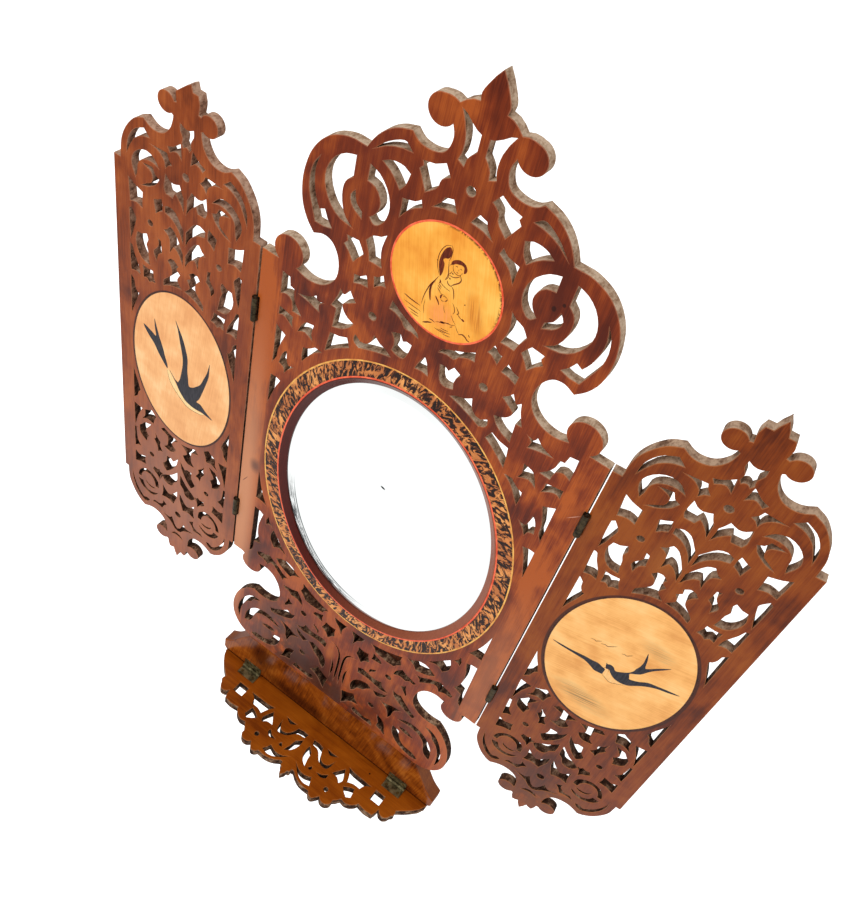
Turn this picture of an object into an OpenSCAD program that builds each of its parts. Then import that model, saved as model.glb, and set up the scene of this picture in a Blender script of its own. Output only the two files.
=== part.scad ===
// Triptych wall mirror of fretsawn walnut: a centre panel with an oval bevelled glass,
// two wings on brass butt hinges, and a fretted shelf that folds up against the base board.
// Units are millimetres. X runs to the right, Z up, and the fronts face -Y.
// The origin is the centre of the hole of the hanging plate, on the plate's back face.

/* [Boards] */
// Width of the centre panel
centre_w = 250; // [240:1:265]
// Height of the posts and of the wing stiles
post_h = 311; // [300:1:325]
// Width of the posts beside the mirror
post_w = 16.8; // [14:0.2:20]
// Thickness of the fretted boards
board_t = 7; // [6.5:0.25:9]
// How far each closed wing ends short of the middle of the mirror
closed_gap = 0.2; // [0.1:0.1:4]
// Width of a wing stile
stile_w = 12; // [10:0.5:14]
// Clear gap between the centre panel and a wing
hinge_gap = 1.6; // [1.4:0.1:2.4]
// How far the right wing is swung back at rest, in degrees
right_wing_back = 7.4; // [0:0.1:7.6]

/* [Mirror] */
// Half width of the visible glass
mirror_a = 86.2; // [80:0.2:88]
// Half height of the visible glass
mirror_b = 119.8; // [112:0.2:122]
// Height of the mirror centre above the feet of the posts
mirror_z = 148; // [144:1:152]
// Width of the dark slip that frames the glass
slip_w = 5.6; // [4:0.1:6]
// Thickness of the glass
glass_t = 3.5; // [3:0.25:4]
// How far the glass lies under the slip
glass_lap = 4.2; // [3:0.1:5]
// Width of the ground bevel around the glass
bevel_w = 10; // [6:0.5:14]
// Depth of the ground bevel at the edge
bevel_d = 1; // [0.5:0.1:1.5]
// Thickness of the board behind the glass
backing_t = 3; // [2:0.5:5]
// How far the backing board laps over the panel behind
backing_lap = 7; // [6:0.5:9]
// Number of screws in the backing board
backing_screws_n = 8; // [6:2:12]

/* [Inlay] */
// Width of the inner red line around the mirror
red_line_w = 1.2; // [1:0.1:2]
// Width of the burl band around the mirror
burl_w = 11.1; // [9:0.1:12]
// Width of the outer yellow line around the mirror
yellow_line_w = 1.1; // [0.8:0.1:2]
// Plain wood between the yellow line and the first cuts
ring_rim = 5.9; // [5:0.1:8]
// Depth of the inlaid lines and bands
inlay_t = 1.5; // [1:0.1:2.5]
// Thickness of the pale medallions
medallion_t = 2; // [1.5:0.1:3]
// Radius of the crest medallion with its line
crest_r = 36.7; // [32:0.1:38]
// Height of the crest medallion centre above the feet of the posts
crest_z = 361.5; // [359:0.5:363]
// Width of the line around the crest medallion
crest_line_w = 1.2; // [1:0.1:2]
// Plain wood around the crest medallion
crest_rim = 4.3; // [3.5:0.1:6]
// Half width of a wing medallion with its line
wing_med_a = 49; // [44:0.1:50]
// Half height of a wing medallion with its line
wing_med_b = 73.5; // [66:0.1:75]
// Height of a wing medallion centre above the feet of the stiles
wing_med_z = 155.8; // [152:0.2:158]
// Width of the line around a wing medallion
wing_line_w = 1.4; // [0.8:0.1:2]
// Plain wood around a wing medallion
wing_rim = 4.2; // [3.5:0.1:6]

/* [Base board and shelf] */
// How far the base board ends inside the edge of the centre panel
base_inset = 0.5; // [0:0.1:3]
// Height of the base board
base_h = 54; // [48:0.5:60]
// Thickness of the base board
base_t = 14; // [12:0.5:18]
// Height of the bottom of the base board below the feet of the posts
base_drop = 172; // [168:0.5:176]
// Length of the tongue that joins the centre panel to the base board
tongue_h = 6; // [4:0.5:8]
// Thickness of that tongue
tongue_t = 4; // [3:0.5:5]
// Width of that tongue
tongue_w = 150; // [120:5:170]
// Half width of the plain board behind the apron
apron_backing_a = 63; // [55:1:66]
// Thickness of that board
apron_backing_t = 4; // [3:0.5:6]
// Thickness of the fretted shelf
shelf_t = 10; // [8:0.5:12]
// Reach of the shelf in front of the base board
shelf_reach = 62; // [56:1:68]
// How far the shelf tucks under the base board and stops there
shelf_tuck = 5; // [3:0.5:8]
// Clear gap between the shelf and the base board
shelf_gap = 0.4; // [0.3:0.1:1]

/* [Wing hinges] */
// Length of a wing hinge
hinge_len = 19.5; // [16:0.5:24]
// Height of the lower wing hinges above the feet of the posts
hinge_low_z = 53; // [45:1:60]
// Height of the upper wing hinges above the feet of the posts
hinge_high_z = 262; // [250:1:270]
// Depth of a wing hinge leaf, from the pin backwards
leaf_depth = 6.8; // [6:0.1:7.2]
// Thickness of every hinge leaf
leaf_t = 0.8; // [0.6:0.1:1]
// Radius of a wing hinge knuckle
knuckle_r = 2.3; // [2:0.05:2.5]
// How far the wing hinge pin stands in front of the panel
pin_proud = 1; // [0.6:0.1:1.5]
// Radius of every hinge pin
pin_r = 0.9; // [0.7:0.05:1]

/* [Shelf hinges] */
// Length of a shelf hinge
shelf_hinge_len = 19.5; // [16:0.5:24]
// Distance from the middle of a shelf hinge to the end of the base board
shelf_hinge_inset = 37; // [34:0.5:44]
// Depth of a shelf hinge leaf, from the pin outwards
shelf_leaf_depth = 9; // [8:0.25:10]
// Radius of a shelf hinge knuckle
shelf_knuckle_r = 1.7; // [1.5:0.05:2]
// Distance of the shelf hinge pin from the faces that carry the leaves
shelf_pin_out = 1.9; // [1.8:0.05:2.4]

/* [Hanging plate and screws] */
// Width of the hanging plate
plate_w = 34; // [30:1:40]
// Height of the hanging plate
plate_h = 20; // [18:1:24]
// Thickness of the hanging plate
plate_t = 1.2; // [1:0.1:2]
// Radius of the hole that a screw head passes
hang_r = 3.6; // [3:0.1:4]
// Radius of the slot above it that takes the screw shank
hang_slot_r = 1.8; // [1.5:0.1:2]
// Length of that slot
hang_slot_len = 6; // [5:0.5:7]
// Height of the hanging hole above the centre of the crest medallion
hang_up = 2; // [0:0.5:4]
// Room in the wood behind the hanging plate
hang_pocket = 3; // [2.5:0.1:3.4]
// Radius of the shanks of the hinge and plate screws
screw_r = 0.7; // [0.5:0.05:0.8]
// Radius of their countersunk heads
screw_head_r = 1.4; // [1.2:0.05:1.5]
// Length of the wing hinge screws
screw_len = 6; // [4:0.5:8]
// Radius of the backing board screws
backing_screw_r = 0.9; // [0.7:0.05:1.2]
// Radius of their round heads
backing_head_r = 2; // [1.6:0.1:2.4]
// Height of their round heads
backing_head_h = 1; // [0.8:0.1:1.4]
// How far they reach into the panel
backing_screw_bite = 4; // [3:0.5:4.5]

/* [Hidden] */
$fn = 96;
// Running clearance around hinge pins
pin_fit = 0.03;
// Gap between neighbouring knuckles
knuckle_gap = 0.3;
// Room cut in wood around a knuckle
knuckle_room = 0.35;
// Fit of pieces that are glued or let into a recess
seat = 0.04;
// Extra length of a cut through a face
cut = 1;
// Lines per stretch of an outer edge, and of a cut
edge_steps = 3;
cut_steps = 2;
// A stretch of curve that bows less than this is left as one line
flat_bow = 0.14;
// Lines around an oval
oval_steps = 144;
// The widths and heights that the outlines below are drawn for
drawn_centre = [250, 311];
drawn_wing = [124.5, 311];
drawn_base = [249, 54];
drawn_shelf = [249, 62];
// Where the base board's top lies in the drawing of the centre panel
drawn_base_top = -118;
// Middle line of the wing's drawing, and half width of the shelf's back edge
drawn_wing_mid = 62.75;
drawn_shelf_back = 121.2;

centre_x = centre_w / 2;
wing_w = centre_x - closed_gap;
base_w = centre_w - 2 * base_inset;
shelf_hinge_x = base_w / 2 - shelf_hinge_inset;
slip_a = mirror_a + slip_w;
slip_b = mirror_b + slip_w;
red_a = slip_a + red_line_w;
red_b = slip_b + red_line_w;
burl_a = red_a + burl_w;
burl_b = red_b + burl_w;
yellow_a = burl_a + yellow_line_w;
yellow_b = burl_b + yellow_line_w;
slip_t = board_t - glass_t;
pin_x = centre_x + hinge_gap / 2;
wing_mid = hinge_gap / 2 + wing_w / 2;
base_top = base_h - base_drop;
shelf_top = -base_drop - shelf_gap;
shelf_pin_z = shelf_top + shelf_pin_out;
shelf_pin_y = -shelf_pin_out;
hang_z = crest_z + hang_up;
hang_y = board_t + plate_t;
hinge_heights = [hinge_low_z, hinge_high_z];

// Outline helpers. An outline is a list of points; a point with a third number 1 is a
// sharp corner, and the line runs as a smooth curve through all the others.
function at(p, i) = p[(i + len(p)) % len(p)];
function xy(q) = [q[0], q[1]];
function sharp(q) = len(q) > 2;
function through(a, b, c, d, t) =
    0.5 * (2 * b + (c - a) * t + (2 * a - 5 * b + 4 * c - d) * t * t
    + (3 * b - a - 3 * c + d) * t * t * t);
function sawn(p, fine) = [
    for (i = [0 : len(p) - 1])
        let (
            b = at(p, i),
            c = at(p, i + 1),
            before = sharp(b) ? 2 * xy(b) - xy(c) : xy(at(p, i - 1)),
            after = sharp(c) ? 2 * xy(c) - xy(b) : xy(at(p, i + 2)),
            bow = norm(through(before, xy(b), xy(c), after, 0.5) - (xy(b) + xy(c)) / 2),
            steps = bow < flat_bow ? 1 : fine
        )
        for (k = [0 : steps - 1]) through(before, xy(b), xy(c), after, k / steps)
];

// A flat outline stood upright as a board, its front at y = front
module board(thick, front = 0) {
    translate([0, front + thick, 0])
        rotate([90, 0, 0])
            linear_extrude(thick) children();
}

module both_sides() {
    children();
    mirror([1, 0, 0]) children();
}

module oval(a, b) {
    scale([1, b / a, 1]) circle(a, $fn = oval_steps);
}

// Stretches an outline from the size it is drawn for
module to_size(size, drawn) {
    scale([size[0] / drawn[0], size[1] / drawn[1]]) children();
}

// An upright oval disc or ring with its centre at a height
module oval_plate(a, b, z, thick, front = 0) {
    translate([0, 0, z]) board(thick, front) oval(a, b);
}

module oval_ring(outer, inner, z, thick, front = 0) {
    difference() {
        oval_plate(outer[0], outer[1], z, thick, front);
        oval_plate(inner[0], inner[1], z, thick + 2 * cut, front - cut);
    }
}

module from_hanger() {
    translate([0, -hang_y, -hang_z]) children();
}

// Centre panel: half outline from the finial down to the base board
centre_outline = [
    [0, 485, 1], [3.2, 480.5], [6.2, 475], [8.2, 470], [7.8, 466, 1], [11.5, 465.2],
    [15, 463], [17.8, 460.3, 1], [21, 461.4], [26, 461.2], [31, 459], [33, 455, 1],
    [26.2, 452.5, 1], [19.5, 450.3, 1], [17.3, 445], [16.8, 440.5], [18, 435.5],
    [20.5, 432], [25, 430.3], [30, 429.9], [35, 431], [39.6, 434.6, 1], [46, 432.6],
    [52, 429.2], [57.5, 424], [61.5, 418], [64, 412.8, 1], [72, 413], [79, 411.5],
    [86.3, 408], [92.8, 402], [98.2, 393], [101.2, 382], [102, 371], [100.2, 359],
    [95.6, 349.5], [89.6, 342.8, 1], [84.5, 345.2], [80, 345.6], [75.5, 343.8], [71.3, 338.5],
    [69, 331], [69.2, 323], [72.3, 316.5], [77.5, 311.7], [84, 309.2], [91, 309],
    [98, 311.3, 1], [105, 316, 1], [115.5, 308.5, 1], [120.5, 311], [125, 311, 1],
    [125, 0, 1], [115, 0, 1], [104.5, -7, 1], [95, -0.5, 1], [88, 0.3], [81, -2.5],
    [75.5, -9], [72.3, -17.5], [71.5, -26], [73.3, -34], [78.5, -39.8], [85, -42.3],
    [92, -42.6], [98.4, -41.2, 1], [104.5, -46], [110.5, -53.5], [115.3, -63],
    [118.2, -74], [119.2, -85], [118, -95], [115, -103], [110, -110], [103, -115],
    [95, -118, 1], [0, -118, 1]
];
centre_balls = [[26.2, 452.5, 8.5], [105.2, 319.8, 11.1], [104.5, -7.5, 10]];
// Cuts of the crest, above the posts
crest_cuts = [
    [[37, 423.3, 1], [40, 426], [43, 427], [48.5, 424.3], [54.3, 419.8], [59, 414.5, 1],
        [53.3, 418.6], [47.5, 421.3], [42.5, 422.7]],
    [[35.5, 411.3, 1], [40, 413.5], [45, 413.6], [49, 412.5], [53, 410, 1], [47.5, 407],
        [43, 403], [40, 399.5, 1], [37, 404]],
    [[17, 427.5, 1], [23, 424], [30, 422.5, 1], [29, 420, 1], [31, 417.5, 1], [28, 412],
        [25, 406.5, 1], [20, 411], [18.3, 414, 1], [17.5, 418], [13, 421.5, 1]],
    [[8, 411.2, 1], [13, 409.7, 1], [14.5, 405.8, 1], [18.5, 401.3, 1], [12, 403.6],
        [4.5, 404.6, 1]],
    [[2.6, 450.6, 1], [5.5, 451.6], [9, 454], [12.5, 457], [15.6, 458.3, 1], [12.8, 453],
        [10.7, 447], [10, 441], [10.4, 436], [11.5, 432.8, 1], [7.5, 430.8, 1], [7, 435],
        [4.9, 438.5], [2.6, 441, 1]],
    [[60, 404.3, 1], [53.5, 401.8], [47.5, 396], [44.2, 389], [43.6, 382.5], [45.3, 376],
        [49, 371.5], [52, 371], [54.7, 373.8, 1], [51.3, 377.5], [49.4, 383],
        [50.6, 388.5], [54.5, 393], [60, 394.3, 1]],
    [[69.5, 404.5, 1], [76, 402.3], [82, 397.5], [86, 390.5], [87.3, 383], [85.6, 375],
        [80.5, 367], [73.5, 362.3], [64.5, 361, 1], [69.5, 364.5], [72.8, 370],
        [74.6, 377], [74.6, 383.5], [72.8, 388], [69.3, 391.3, 1]],
    [[66.5, 384.5, 1], [69, 380.5], [68, 376], [64.5, 372.3], [59.5, 369.8, 1],
        [60, 374, 1], [64, 377], [65.8, 381]],
    [[92.3, 392, 1], [95.5, 386.5], [97.2, 378], [96.5, 369], [93.5, 360.5],
        [89.7, 351, 1], [83.5, 351], [77.7, 352.7, 1], [81.5, 357], [84.3, 362.3, 1],
        [88, 360.3, 1], [91.3, 366.5], [93.6, 375], [94.2, 384]],
    [[41.5, 369, 1], [45, 366], [50, 364], [54, 358.7, 1], [51, 352.5], [49.5, 347, 1],
        [45, 347.2], [40.8, 347, 1], [42.6, 353], [43.2, 360]],
    [[58.5, 355.6, 1], [66.7, 354.8, 1], [65.5, 351.5, 1], [67.8, 348.5, 1], [64, 345],
        [60, 339.8, 1], [57.5, 344], [54, 348.5, 1], [56, 352]],
    [[38.5, 343, 1], [41.5, 340], [44.3, 338.8, 1], [43, 332, 1], [39, 335.5],
        [35.6, 336.3, 1], [37.2, 339.5]],
    [[49.5, 336.3, 1], [53, 333.5], [57.5, 332.5, 1], [57, 326.5, 1], [52, 328.5],
        [47, 329, 1], [48, 333]],
    [[7.5, 316.5, 1], [9, 319.4], [14.5, 322.6], [22, 326.3], [29, 330.8, 1],
        [30, 324.5, 1], [25.5, 324], [20, 321, 1], [17.5, 317.6], [12.5, 317.9]],
    [[26, 401, 1], [29.5, 398], [37, 396, 1], [36.6, 391], [36.6, 384.5, 1], [32.5, 391],
        [28, 394.8], [24.5, 397, 1]]
];
// Cuts between the crest medallion, the mirror and the posts
shoulder_cuts = [
    [[10.5, 308.8, 1], [14, 309.2], [16.6, 307.6, 1], [18, 310], [19.5, 312.2, 1],
        [25, 309.5, 1], [22.5, 306], [21.7, 301], [22.5, 297, 1], [18, 295.3],
        [13.8, 296], [11.7, 301]],
    [[58.3, 319.8, 1], [60.5, 315.6], [62.2, 314, 1], [64.7, 316.7, 1], [65.8, 311],
        [67.6, 306], [69.5, 301.5, 1], [65.5, 301, 1], [65.8, 293], [66.2, 286, 1],
        [60, 288.3], [54.8, 292.5], [51.7, 297.5, 1], [56.5, 299.3], [60.3, 302.7],
        [61.7, 307], [57.5, 310.3], [52.8, 313.5, 1], [55.8, 316.3]],
    [[35.8, 299.3, 1], [36.8, 294.5], [38.5, 291], [41.5, 288.7], [44.8, 288.3, 1],
        [48.8, 291.3, 1], [49.8, 288], [48.5, 284.8], [45, 282.8, 1], [38, 286],
        [30, 289], [22, 291.3, 1], [26.5, 294.3], [31, 295.6]],
    [[54.3, 284.7, 1], [60, 282], [66.8, 280.8, 1], [67.8, 273], [68.5, 264.5, 1],
        [63, 269.5], [57, 274.5], [51.5, 278.2, 1]],
    [[70.5, 260.8, 1], [76, 261.2, 1], [80.5, 257], [85, 255.2, 1], [85.4, 249],
        [84.7, 243.3, 1], [80.3, 250.5], [76, 256.6]],
    [[102, 302.3, 1], [107.6, 303.5, 1], [107.8, 295], [107.6, 286.3, 1], [103, 288.3],
        [98.3, 285.5], [97, 278, 1], [90, 278.3, 1], [94, 283], [97, 288.5],
        [97.8, 295.3, 1], [101, 296, 1]],
    [[75.3, 298.7, 1], [79.5, 297.8], [81, 301, 1], [84.5, 297.8], [89, 295.6],
        [93.5, 294.4, 1], [85, 292.8], [77.3, 290.3, 1], [78.3, 295.4]],
    [[79.5, 277.5, 1], [83, 276.8], [86.3, 275.5], [89, 271], [91, 265.2, 1],
        [85.5, 268], [78.8, 265, 1], [80.5, 270]],
    [[96, 273.5, 1], [102, 275], [107.2, 276, 1], [107.2, 269, 1], [104, 270.6],
        [100, 269], [95.3, 265.3, 1], [96.3, 269.5]],
    [[100, 255.5, 1], [104, 257.5], [107.8, 260, 1], [107.8, 227, 1], [105, 233],
        [104.5, 240], [102.5, 248]],
    [[97.2, 243, 1], [99, 241.5], [101.3, 236], [102.3, 229.5, 1], [98.5, 228],
        [97, 223.5, 1], [94.8, 228], [90.5, 233, 1], [94.5, 232], [96.5, 236]],
    [[99.5, 214, 1], [103.5, 215.2], [107.8, 215, 1], [107.8, 188, 1], [105, 198],
        [102.8, 206]],
    [[107.8, 111, 1], [107.8, 79.5, 1], [102, 79.3], [97.5, 78, 1], [101, 86],
        [104.8, 97]],
    [[99, 64.5, 1], [103.5, 67], [107.8, 67.5, 1], [108, 21], [109.3, 7, 1], [106, 11],
        [105, 17], [105, 24, 1], [98, 26.7, 1], [101, 33], [102.3, 42], [101.8, 52]],
    [[89, 57, 1], [92, 61], [93.5, 66.5, 1], [95.3, 61], [95, 56, 1], [92, 58]],
    [[71.5, 34.4, 1], [76, 39.8], [81, 46.6], [87, 54.8, 1], [88.8, 49], [89, 42],
        [84.5, 34.2, 1], [80.5, 37.5], [76, 37]]
];
// Cuts below the mirror
apron_cuts = [
    [[54.5, 20.3, 1], [59, 21.5], [63.7, 26, 1], [70, 28], [76, 26], [81, 22.5, 1],
        [76, 17.5], [70, 14], [64.5, 12, 1], [61.5, 16.5]],
    [[71, 0.3, 1], [70, 4.5], [66, 7, 1], [72, 9], [77, 13.5], [82, 16.5], [87.3, 20, 1],
        [91, 17.5], [96, 16.3], [100, 13, 1], [98.5, 10], [93, 9.8], [88, 6.5, 1],
        [86, 11], [82, 11], [77, 6.5], [73.5, 3]],
    [[22, 4, 1], [30, 6], [37, 8.6], [44.5, 12.4], [50.7, 16, 1], [50, 10], [52, 4.5, 1],
        [48.5, 0.5], [46, -4, 1], [40, -4.7], [34, -4], [27.5, -3, 1], [26, 1]],
    [[2.5, 2.2, 1], [9, 2.1], [15.5, 2.6, 1], [13.5, -2.5], [9.5, -6.5], [6.2, -14.5, 1],
        [6.2, -7], [4.5, -2]],
    [[26.3, -5.9, 1], [30, -8], [34, -9.5], [36, -13.5, 1], [31, -14.5], [26, -15.7, 1],
        [27, -11]],
    [[12, -12.5, 1], [17, -13.5], [22.5, -12.3, 1], [23, -17], [25.5, -23, 1],
        [20.5, -26], [17.7, -31.5, 1], [15, -27], [11.7, -23, 1], [12.8, -17.5]],
    [[54.5, 0, 1], [60, -2.8], [65.3, -4, 1], [69.5, -5.3, 1], [67, -8.5, 1], [63, -8],
        [60, -11.5, 1], [54, -10.5], [48.3, -14.3, 1], [49.3, -8], [52, -3.5]],
    [[62, -17.8, 1], [62.8, -23], [65, -29], [64.3, -31.3, 1], [60.5, -26],
        [57, -22.5, 1], [60, -21]],
    [[53, -36, 1], [57, -37.3], [61, -35.7, 1], [65, -40], [70, -44.5], [74, -48],
        [79, -50.5, 1], [76.8, -55, 1], [70, -52.5], [62, -48.5], [55.5, -43.5]],
    [[17, -41, 1], [22, -38.2], [29, -39.5], [35, -40], [41, -37.3, 1], [42.5, -42.5],
        [49.3, -46.3, 1], [42, -48.6], [33, -47], [25, -46.3], [17.8, -48.3, 1]],
    [[33.5, -26.5, 1], [32.5, -30], [29.5, -33], [27.5, -36.5, 1], [27.7, -31]],
    [[13, -32.3, 1], [8.5, -34.3], [5, -39], [3.4, -46], [3, -60], [2.9, -75],
        [2.5, -85.5, 1], [1.2, -75], [1.1, -60], [1.4, -48], [3, -40], [6.8, -34]],
    [[8.5, -57.5, 1], [7.7, -62], [7.5, -72], [7.2, -84, 1], [5.7, -74], [6.1, -64]],
    [[30, -54.3, 1], [24, -56], [18.5, -60.5], [15, -67.5], [14.3, -75], [16, -81, 1],
        [19, -77.5], [21.3, -71.3], [27, -67.5], [29.5, -63], [34, -57.5, 1]],
    [[36, -57.5, 1], [42, -55], [49.5, -50.5, 1], [47.5, -55.5], [44, -59.5],
        [40, -62, 1]],
    [[66.3, -57.3, 1], [60, -58.3], [55, -60.3], [51, -62.6], [45, -63.5, 1], [50, -66],
        [54, -71], [56.5, -80.5, 1], [58.8, -74], [59.3, -66.5], [62, -61]],
    [[66, -71.3, 1], [71.5, -66.3], [79, -63.3], [87, -64.2], [94.5, -68.8],
        [100.3, -76.5], [103.8, -86], [104.3, -97, 1], [99.5, -94.5], [96.3, -88],
        [95, -80.5], [91.5, -74], [85, -70], [76, -69.3]],
    [[69, -81, 1], [74, -79], [79, -79.6], [84.8, -84, 1], [79.5, -84.5], [74, -84.4]],
    [[64, -85.5, 1], [71, -87.5, 1], [71.3, -92], [74.5, -100], [80, -104.3], [88, -105],
        [92.3, -107], [95.3, -110.7, 1], [90, -113], [82.5, -112.3], [74, -109],
        [67, -101.5], [64, -93]],
    [[89.5, -52.5, 1], [96, -52.3], [102.5, -56.5], [108.5, -66], [112, -77],
        [113.2, -88], [111, -98, 1], [110.4, -87.5], [108.7, -77.5], [105, -68.5],
        [99.5, -63, 1], [97.5, -57.5]],
    [[47, -88, 1], [52, -90], [56, -96], [57.5, -104], [59.5, -111.5, 1], [54, -107.5],
        [49.5, -106], [50, -99], [48, -93]],
    [[24, -104, 1], [30, -106.5], [37, -107], [42.5, -104.5, 1], [44.5, -109],
        [46, -114, 1], [36, -113.3], [27, -112], [22.5, -109]],
    [[8, -92, 1], [14, -89], [20, -84, 1], [22.5, -90], [27, -96, 1], [20, -98.5],
        [15, -104], [10.5, -111, 1], [9.5, -100]]
];
centre_drill_holes = [[40, 311.7, 2.8], [45, -23.5, 3], [38.5, -81, 3]];
stem_drill_hole = [0, 420.5, 2.8];
keystone_cut = [
    [0, 306.6, 1], [2.2, 303], [4.8, 294.8, 1], [0, 295.6], [-4.8, 294.8, 1], [-2.2, 303]
];

module half_cuts(groups, holes) {
    for (group = groups)
        for (edge = group) polygon(sawn(edge, cut_steps));
    for (hole = holes)
        translate([hole[0], hole[1]]) circle(hole[2], $fn = 24);
}

// The centre panel's drawing stretches in width with the panel, in height with the posts
// above their feet, and with the drop to the base board below them
function on_panel(q) = [
    q[0] * centre_w / drawn_centre[0],
    q[1] * (q[1] > 0 ? post_h / drawn_centre[1] : base_top / drawn_base_top),
    for (k = [2 : 1 : len(q) - 1]) q[k]
];
function fitted(points) = [for (q = points) on_panel(q)];

module centre_fret() {
    cuts = [
        for (group = [crest_cuts, shoulder_cuts, apron_cuts])
            [for (outline = group) fitted(outline)]
    ];
    difference() {
        offset(delta = 0) {
            difference() {
                both_sides() {
                    polygon(sawn(fitted(centre_outline), edge_steps));
                    for (ball = fitted(centre_balls))
                        translate([ball[0], ball[1]]) circle(ball[2], $fn = 40);
                }
                both_sides() half_cuts(cuts, fitted(centre_drill_holes));
                half_cuts([[fitted(keystone_cut)]], fitted([stem_drill_hole]));
                translate([-centre_w, base_top - post_h]) square([2 * centre_w, post_h]);
            }
            translate([0, mirror_z]) oval(yellow_a + ring_rim, yellow_b + ring_rim);
            translate([0, crest_z]) circle(crest_r + crest_rim);
            both_sides() translate([centre_x - post_w, 0]) square([post_w, post_h]);
            translate([-tongue_w / 2, base_top]) square([tongue_w, tongue_h]);
        }
    }
}

// The room that the hinges take in the front edges: a groove for the knuckles
// and a bed for the leaf, which lies flush with the edge
module hinge_bed(side) {
    for (z = hinge_heights) {
        translate([pin_x, -pin_proud, z - hinge_len / 2 - knuckle_gap])
            cylinder(r = knuckle_r + knuckle_room, h = hinge_len + 2 * knuckle_gap);
        translate([side > 0 ? pin_x + hinge_gap / 2 - cut : centre_x - leaf_t - seat,
            -pin_proud, z - hinge_len / 2 - seat])
            cube([leaf_t + cut + seat, leaf_depth + seat, hinge_len + 2 * seat]);
    }
}

module centre_panel() {
    color("sienna") from_hanger() difference() {
        union() {
            board(board_t) centre_fret();
            translate([-tongue_w / 2, (board_t - tongue_t) / 2, base_top - tongue_h])
                cube([tongue_w, tongue_t, tongue_h + cut]);
        }
        oval_plate(slip_a + seat, slip_b + seat, mirror_z, board_t + 2 * cut, -cut);
        oval_plate(yellow_a + seat, yellow_b + seat, mirror_z, inlay_t + cut, -cut);
        translate([0, 0, crest_z])
            board(medallion_t + cut, -cut) circle(crest_r + seat);
        both_sides() {
            hinge_bed(-1);
            post_screw_cuts();
        }
        hanger_cuts();
        backing_screw_cuts();
    }
}

// Base board: half outline with sloping shoulders and clipped feet
base_outline = [
    [0, 54, 1], [95, 54, 1], [98, 50], [103.5, 41.5], [110, 31.5], [116.5, 22],
    [124.5, 15, 1], [124.5, 4, 1], [121, 0, 1], [0, 0, 1]
];

module base_board() {
    color("chocolate") from_hanger() difference() {
        translate([0, 0, -base_drop])
            board(base_t)
                offset(delta = 0)
                    to_size([base_w, base_h], drawn_base)
                        both_sides() polygon(sawn(base_outline, edge_steps));
        translate([-tongue_w / 2 - seat, (board_t - tongue_t) / 2 - seat,
            base_top - tongue_h - seat])
            cube([tongue_w + 2 * seat, tongue_t + 2 * seat, tongue_h + cut]);
        base_screw_cuts();
    }
}

// A plain board glued behind the apron. It stands on the base board and reaches up to
// the feet of the posts.
module apron_backing() {
    color("#4a2a1a") from_hanger()
        translate([-apron_backing_a, board_t, base_top])
            cube([2 * apron_backing_a, apron_backing_t, -base_top]);
}

module mirror_slip() {
    color("#3a1a12") from_hanger()
        oval_ring([slip_a, slip_b], [mirror_a, mirror_b], mirror_z, slip_t);
}

module red_line() {
    color("#d9572b") from_hanger()
        oval_ring([red_a, red_b], [slip_a + seat, slip_b + seat], mirror_z, inlay_t);
}

module burl_band() {
    color("#6b4426") from_hanger()
        oval_ring([burl_a, burl_b], [red_a + seat, red_b + seat], mirror_z, inlay_t);
}

module yellow_line() {
    color("#dcb86a") from_hanger()
        oval_ring([yellow_a, yellow_b], [burl_a + seat, burl_b + seat], mirror_z, inlay_t);
}

// The glass stands on the backing board, and its ground bevel meets the back edge
// of the slip, so the flat face lies a little in front of it
module mirror_glass() {
    glass_a = mirror_a + glass_lap;
    glass_b = mirror_b + glass_lap;
    edge_t = glass_t - bevel_d * glass_lap / bevel_w;
    color("lightsteelblue") from_hanger()
        translate([0, board_t, mirror_z]) rotate([90, 0, 0]) {
            linear_extrude(edge_t) oval(glass_a, glass_b);
            translate([0, 0, edge_t])
                linear_extrude(bevel_d, slices = 1,
                    scale = [1 - bevel_w / glass_a, 1 - bevel_w / glass_b])
                    oval(glass_a, glass_b);
        }
}

module mirror_backing() {
    color("#8a6a4a") from_hanger() difference() {
        oval_plate(slip_a + backing_lap, slip_b + backing_lap, mirror_z, backing_t, board_t);
        backing_screw_cuts();
    }
}

// Screws around the backing board, at equal steps of the oval's own angle
module at_backing_screws() {
    for (i = [0 : backing_screws_n - 1]) {
        angle = (i + 0.5) * 360 / backing_screws_n;
        translate([(slip_a + backing_lap / 2) * cos(angle), board_t + backing_t,
            mirror_z + (slip_b + backing_lap / 2) * sin(angle)])
            rotate([90, 0, 0]) children();
    }
}

module backing_screw_cuts() {
    at_backing_screws()
        translate([0, 0, -cut])
            cylinder(r = backing_screw_r + seat, h = backing_t + backing_screw_bite + cut + seat);
}

module backing_screws() {
    color("goldenrod") from_hanger() at_backing_screws() {
        cylinder(r = backing_screw_r, h = backing_t + backing_screw_bite);
        translate([0, 0, -backing_head_h]) cylinder(r = backing_head_r, h = backing_head_h);
    }
}

module crest_medallion() {
    color("#e8a860") from_hanger()
        translate([0, 0, crest_z])
            board(medallion_t) circle(crest_r - crest_line_w);
}

module crest_line() {
    color("#c9502a") from_hanger()
        translate([0, 0, crest_z])
            board(medallion_t) difference() {
                circle(crest_r);
                circle(crest_r - crest_line_w + seat);
            }
}

// Hanging plate: a keyhole in a brass plate with a screw at each end
plate_screw_x = plate_w / 2 - 4;

module keyhole() {
    circle(hang_r);
    translate([-hang_slot_r, 0]) square([2 * hang_slot_r, hang_slot_len]);
    translate([0, hang_slot_len]) circle(hang_slot_r);
}

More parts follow.
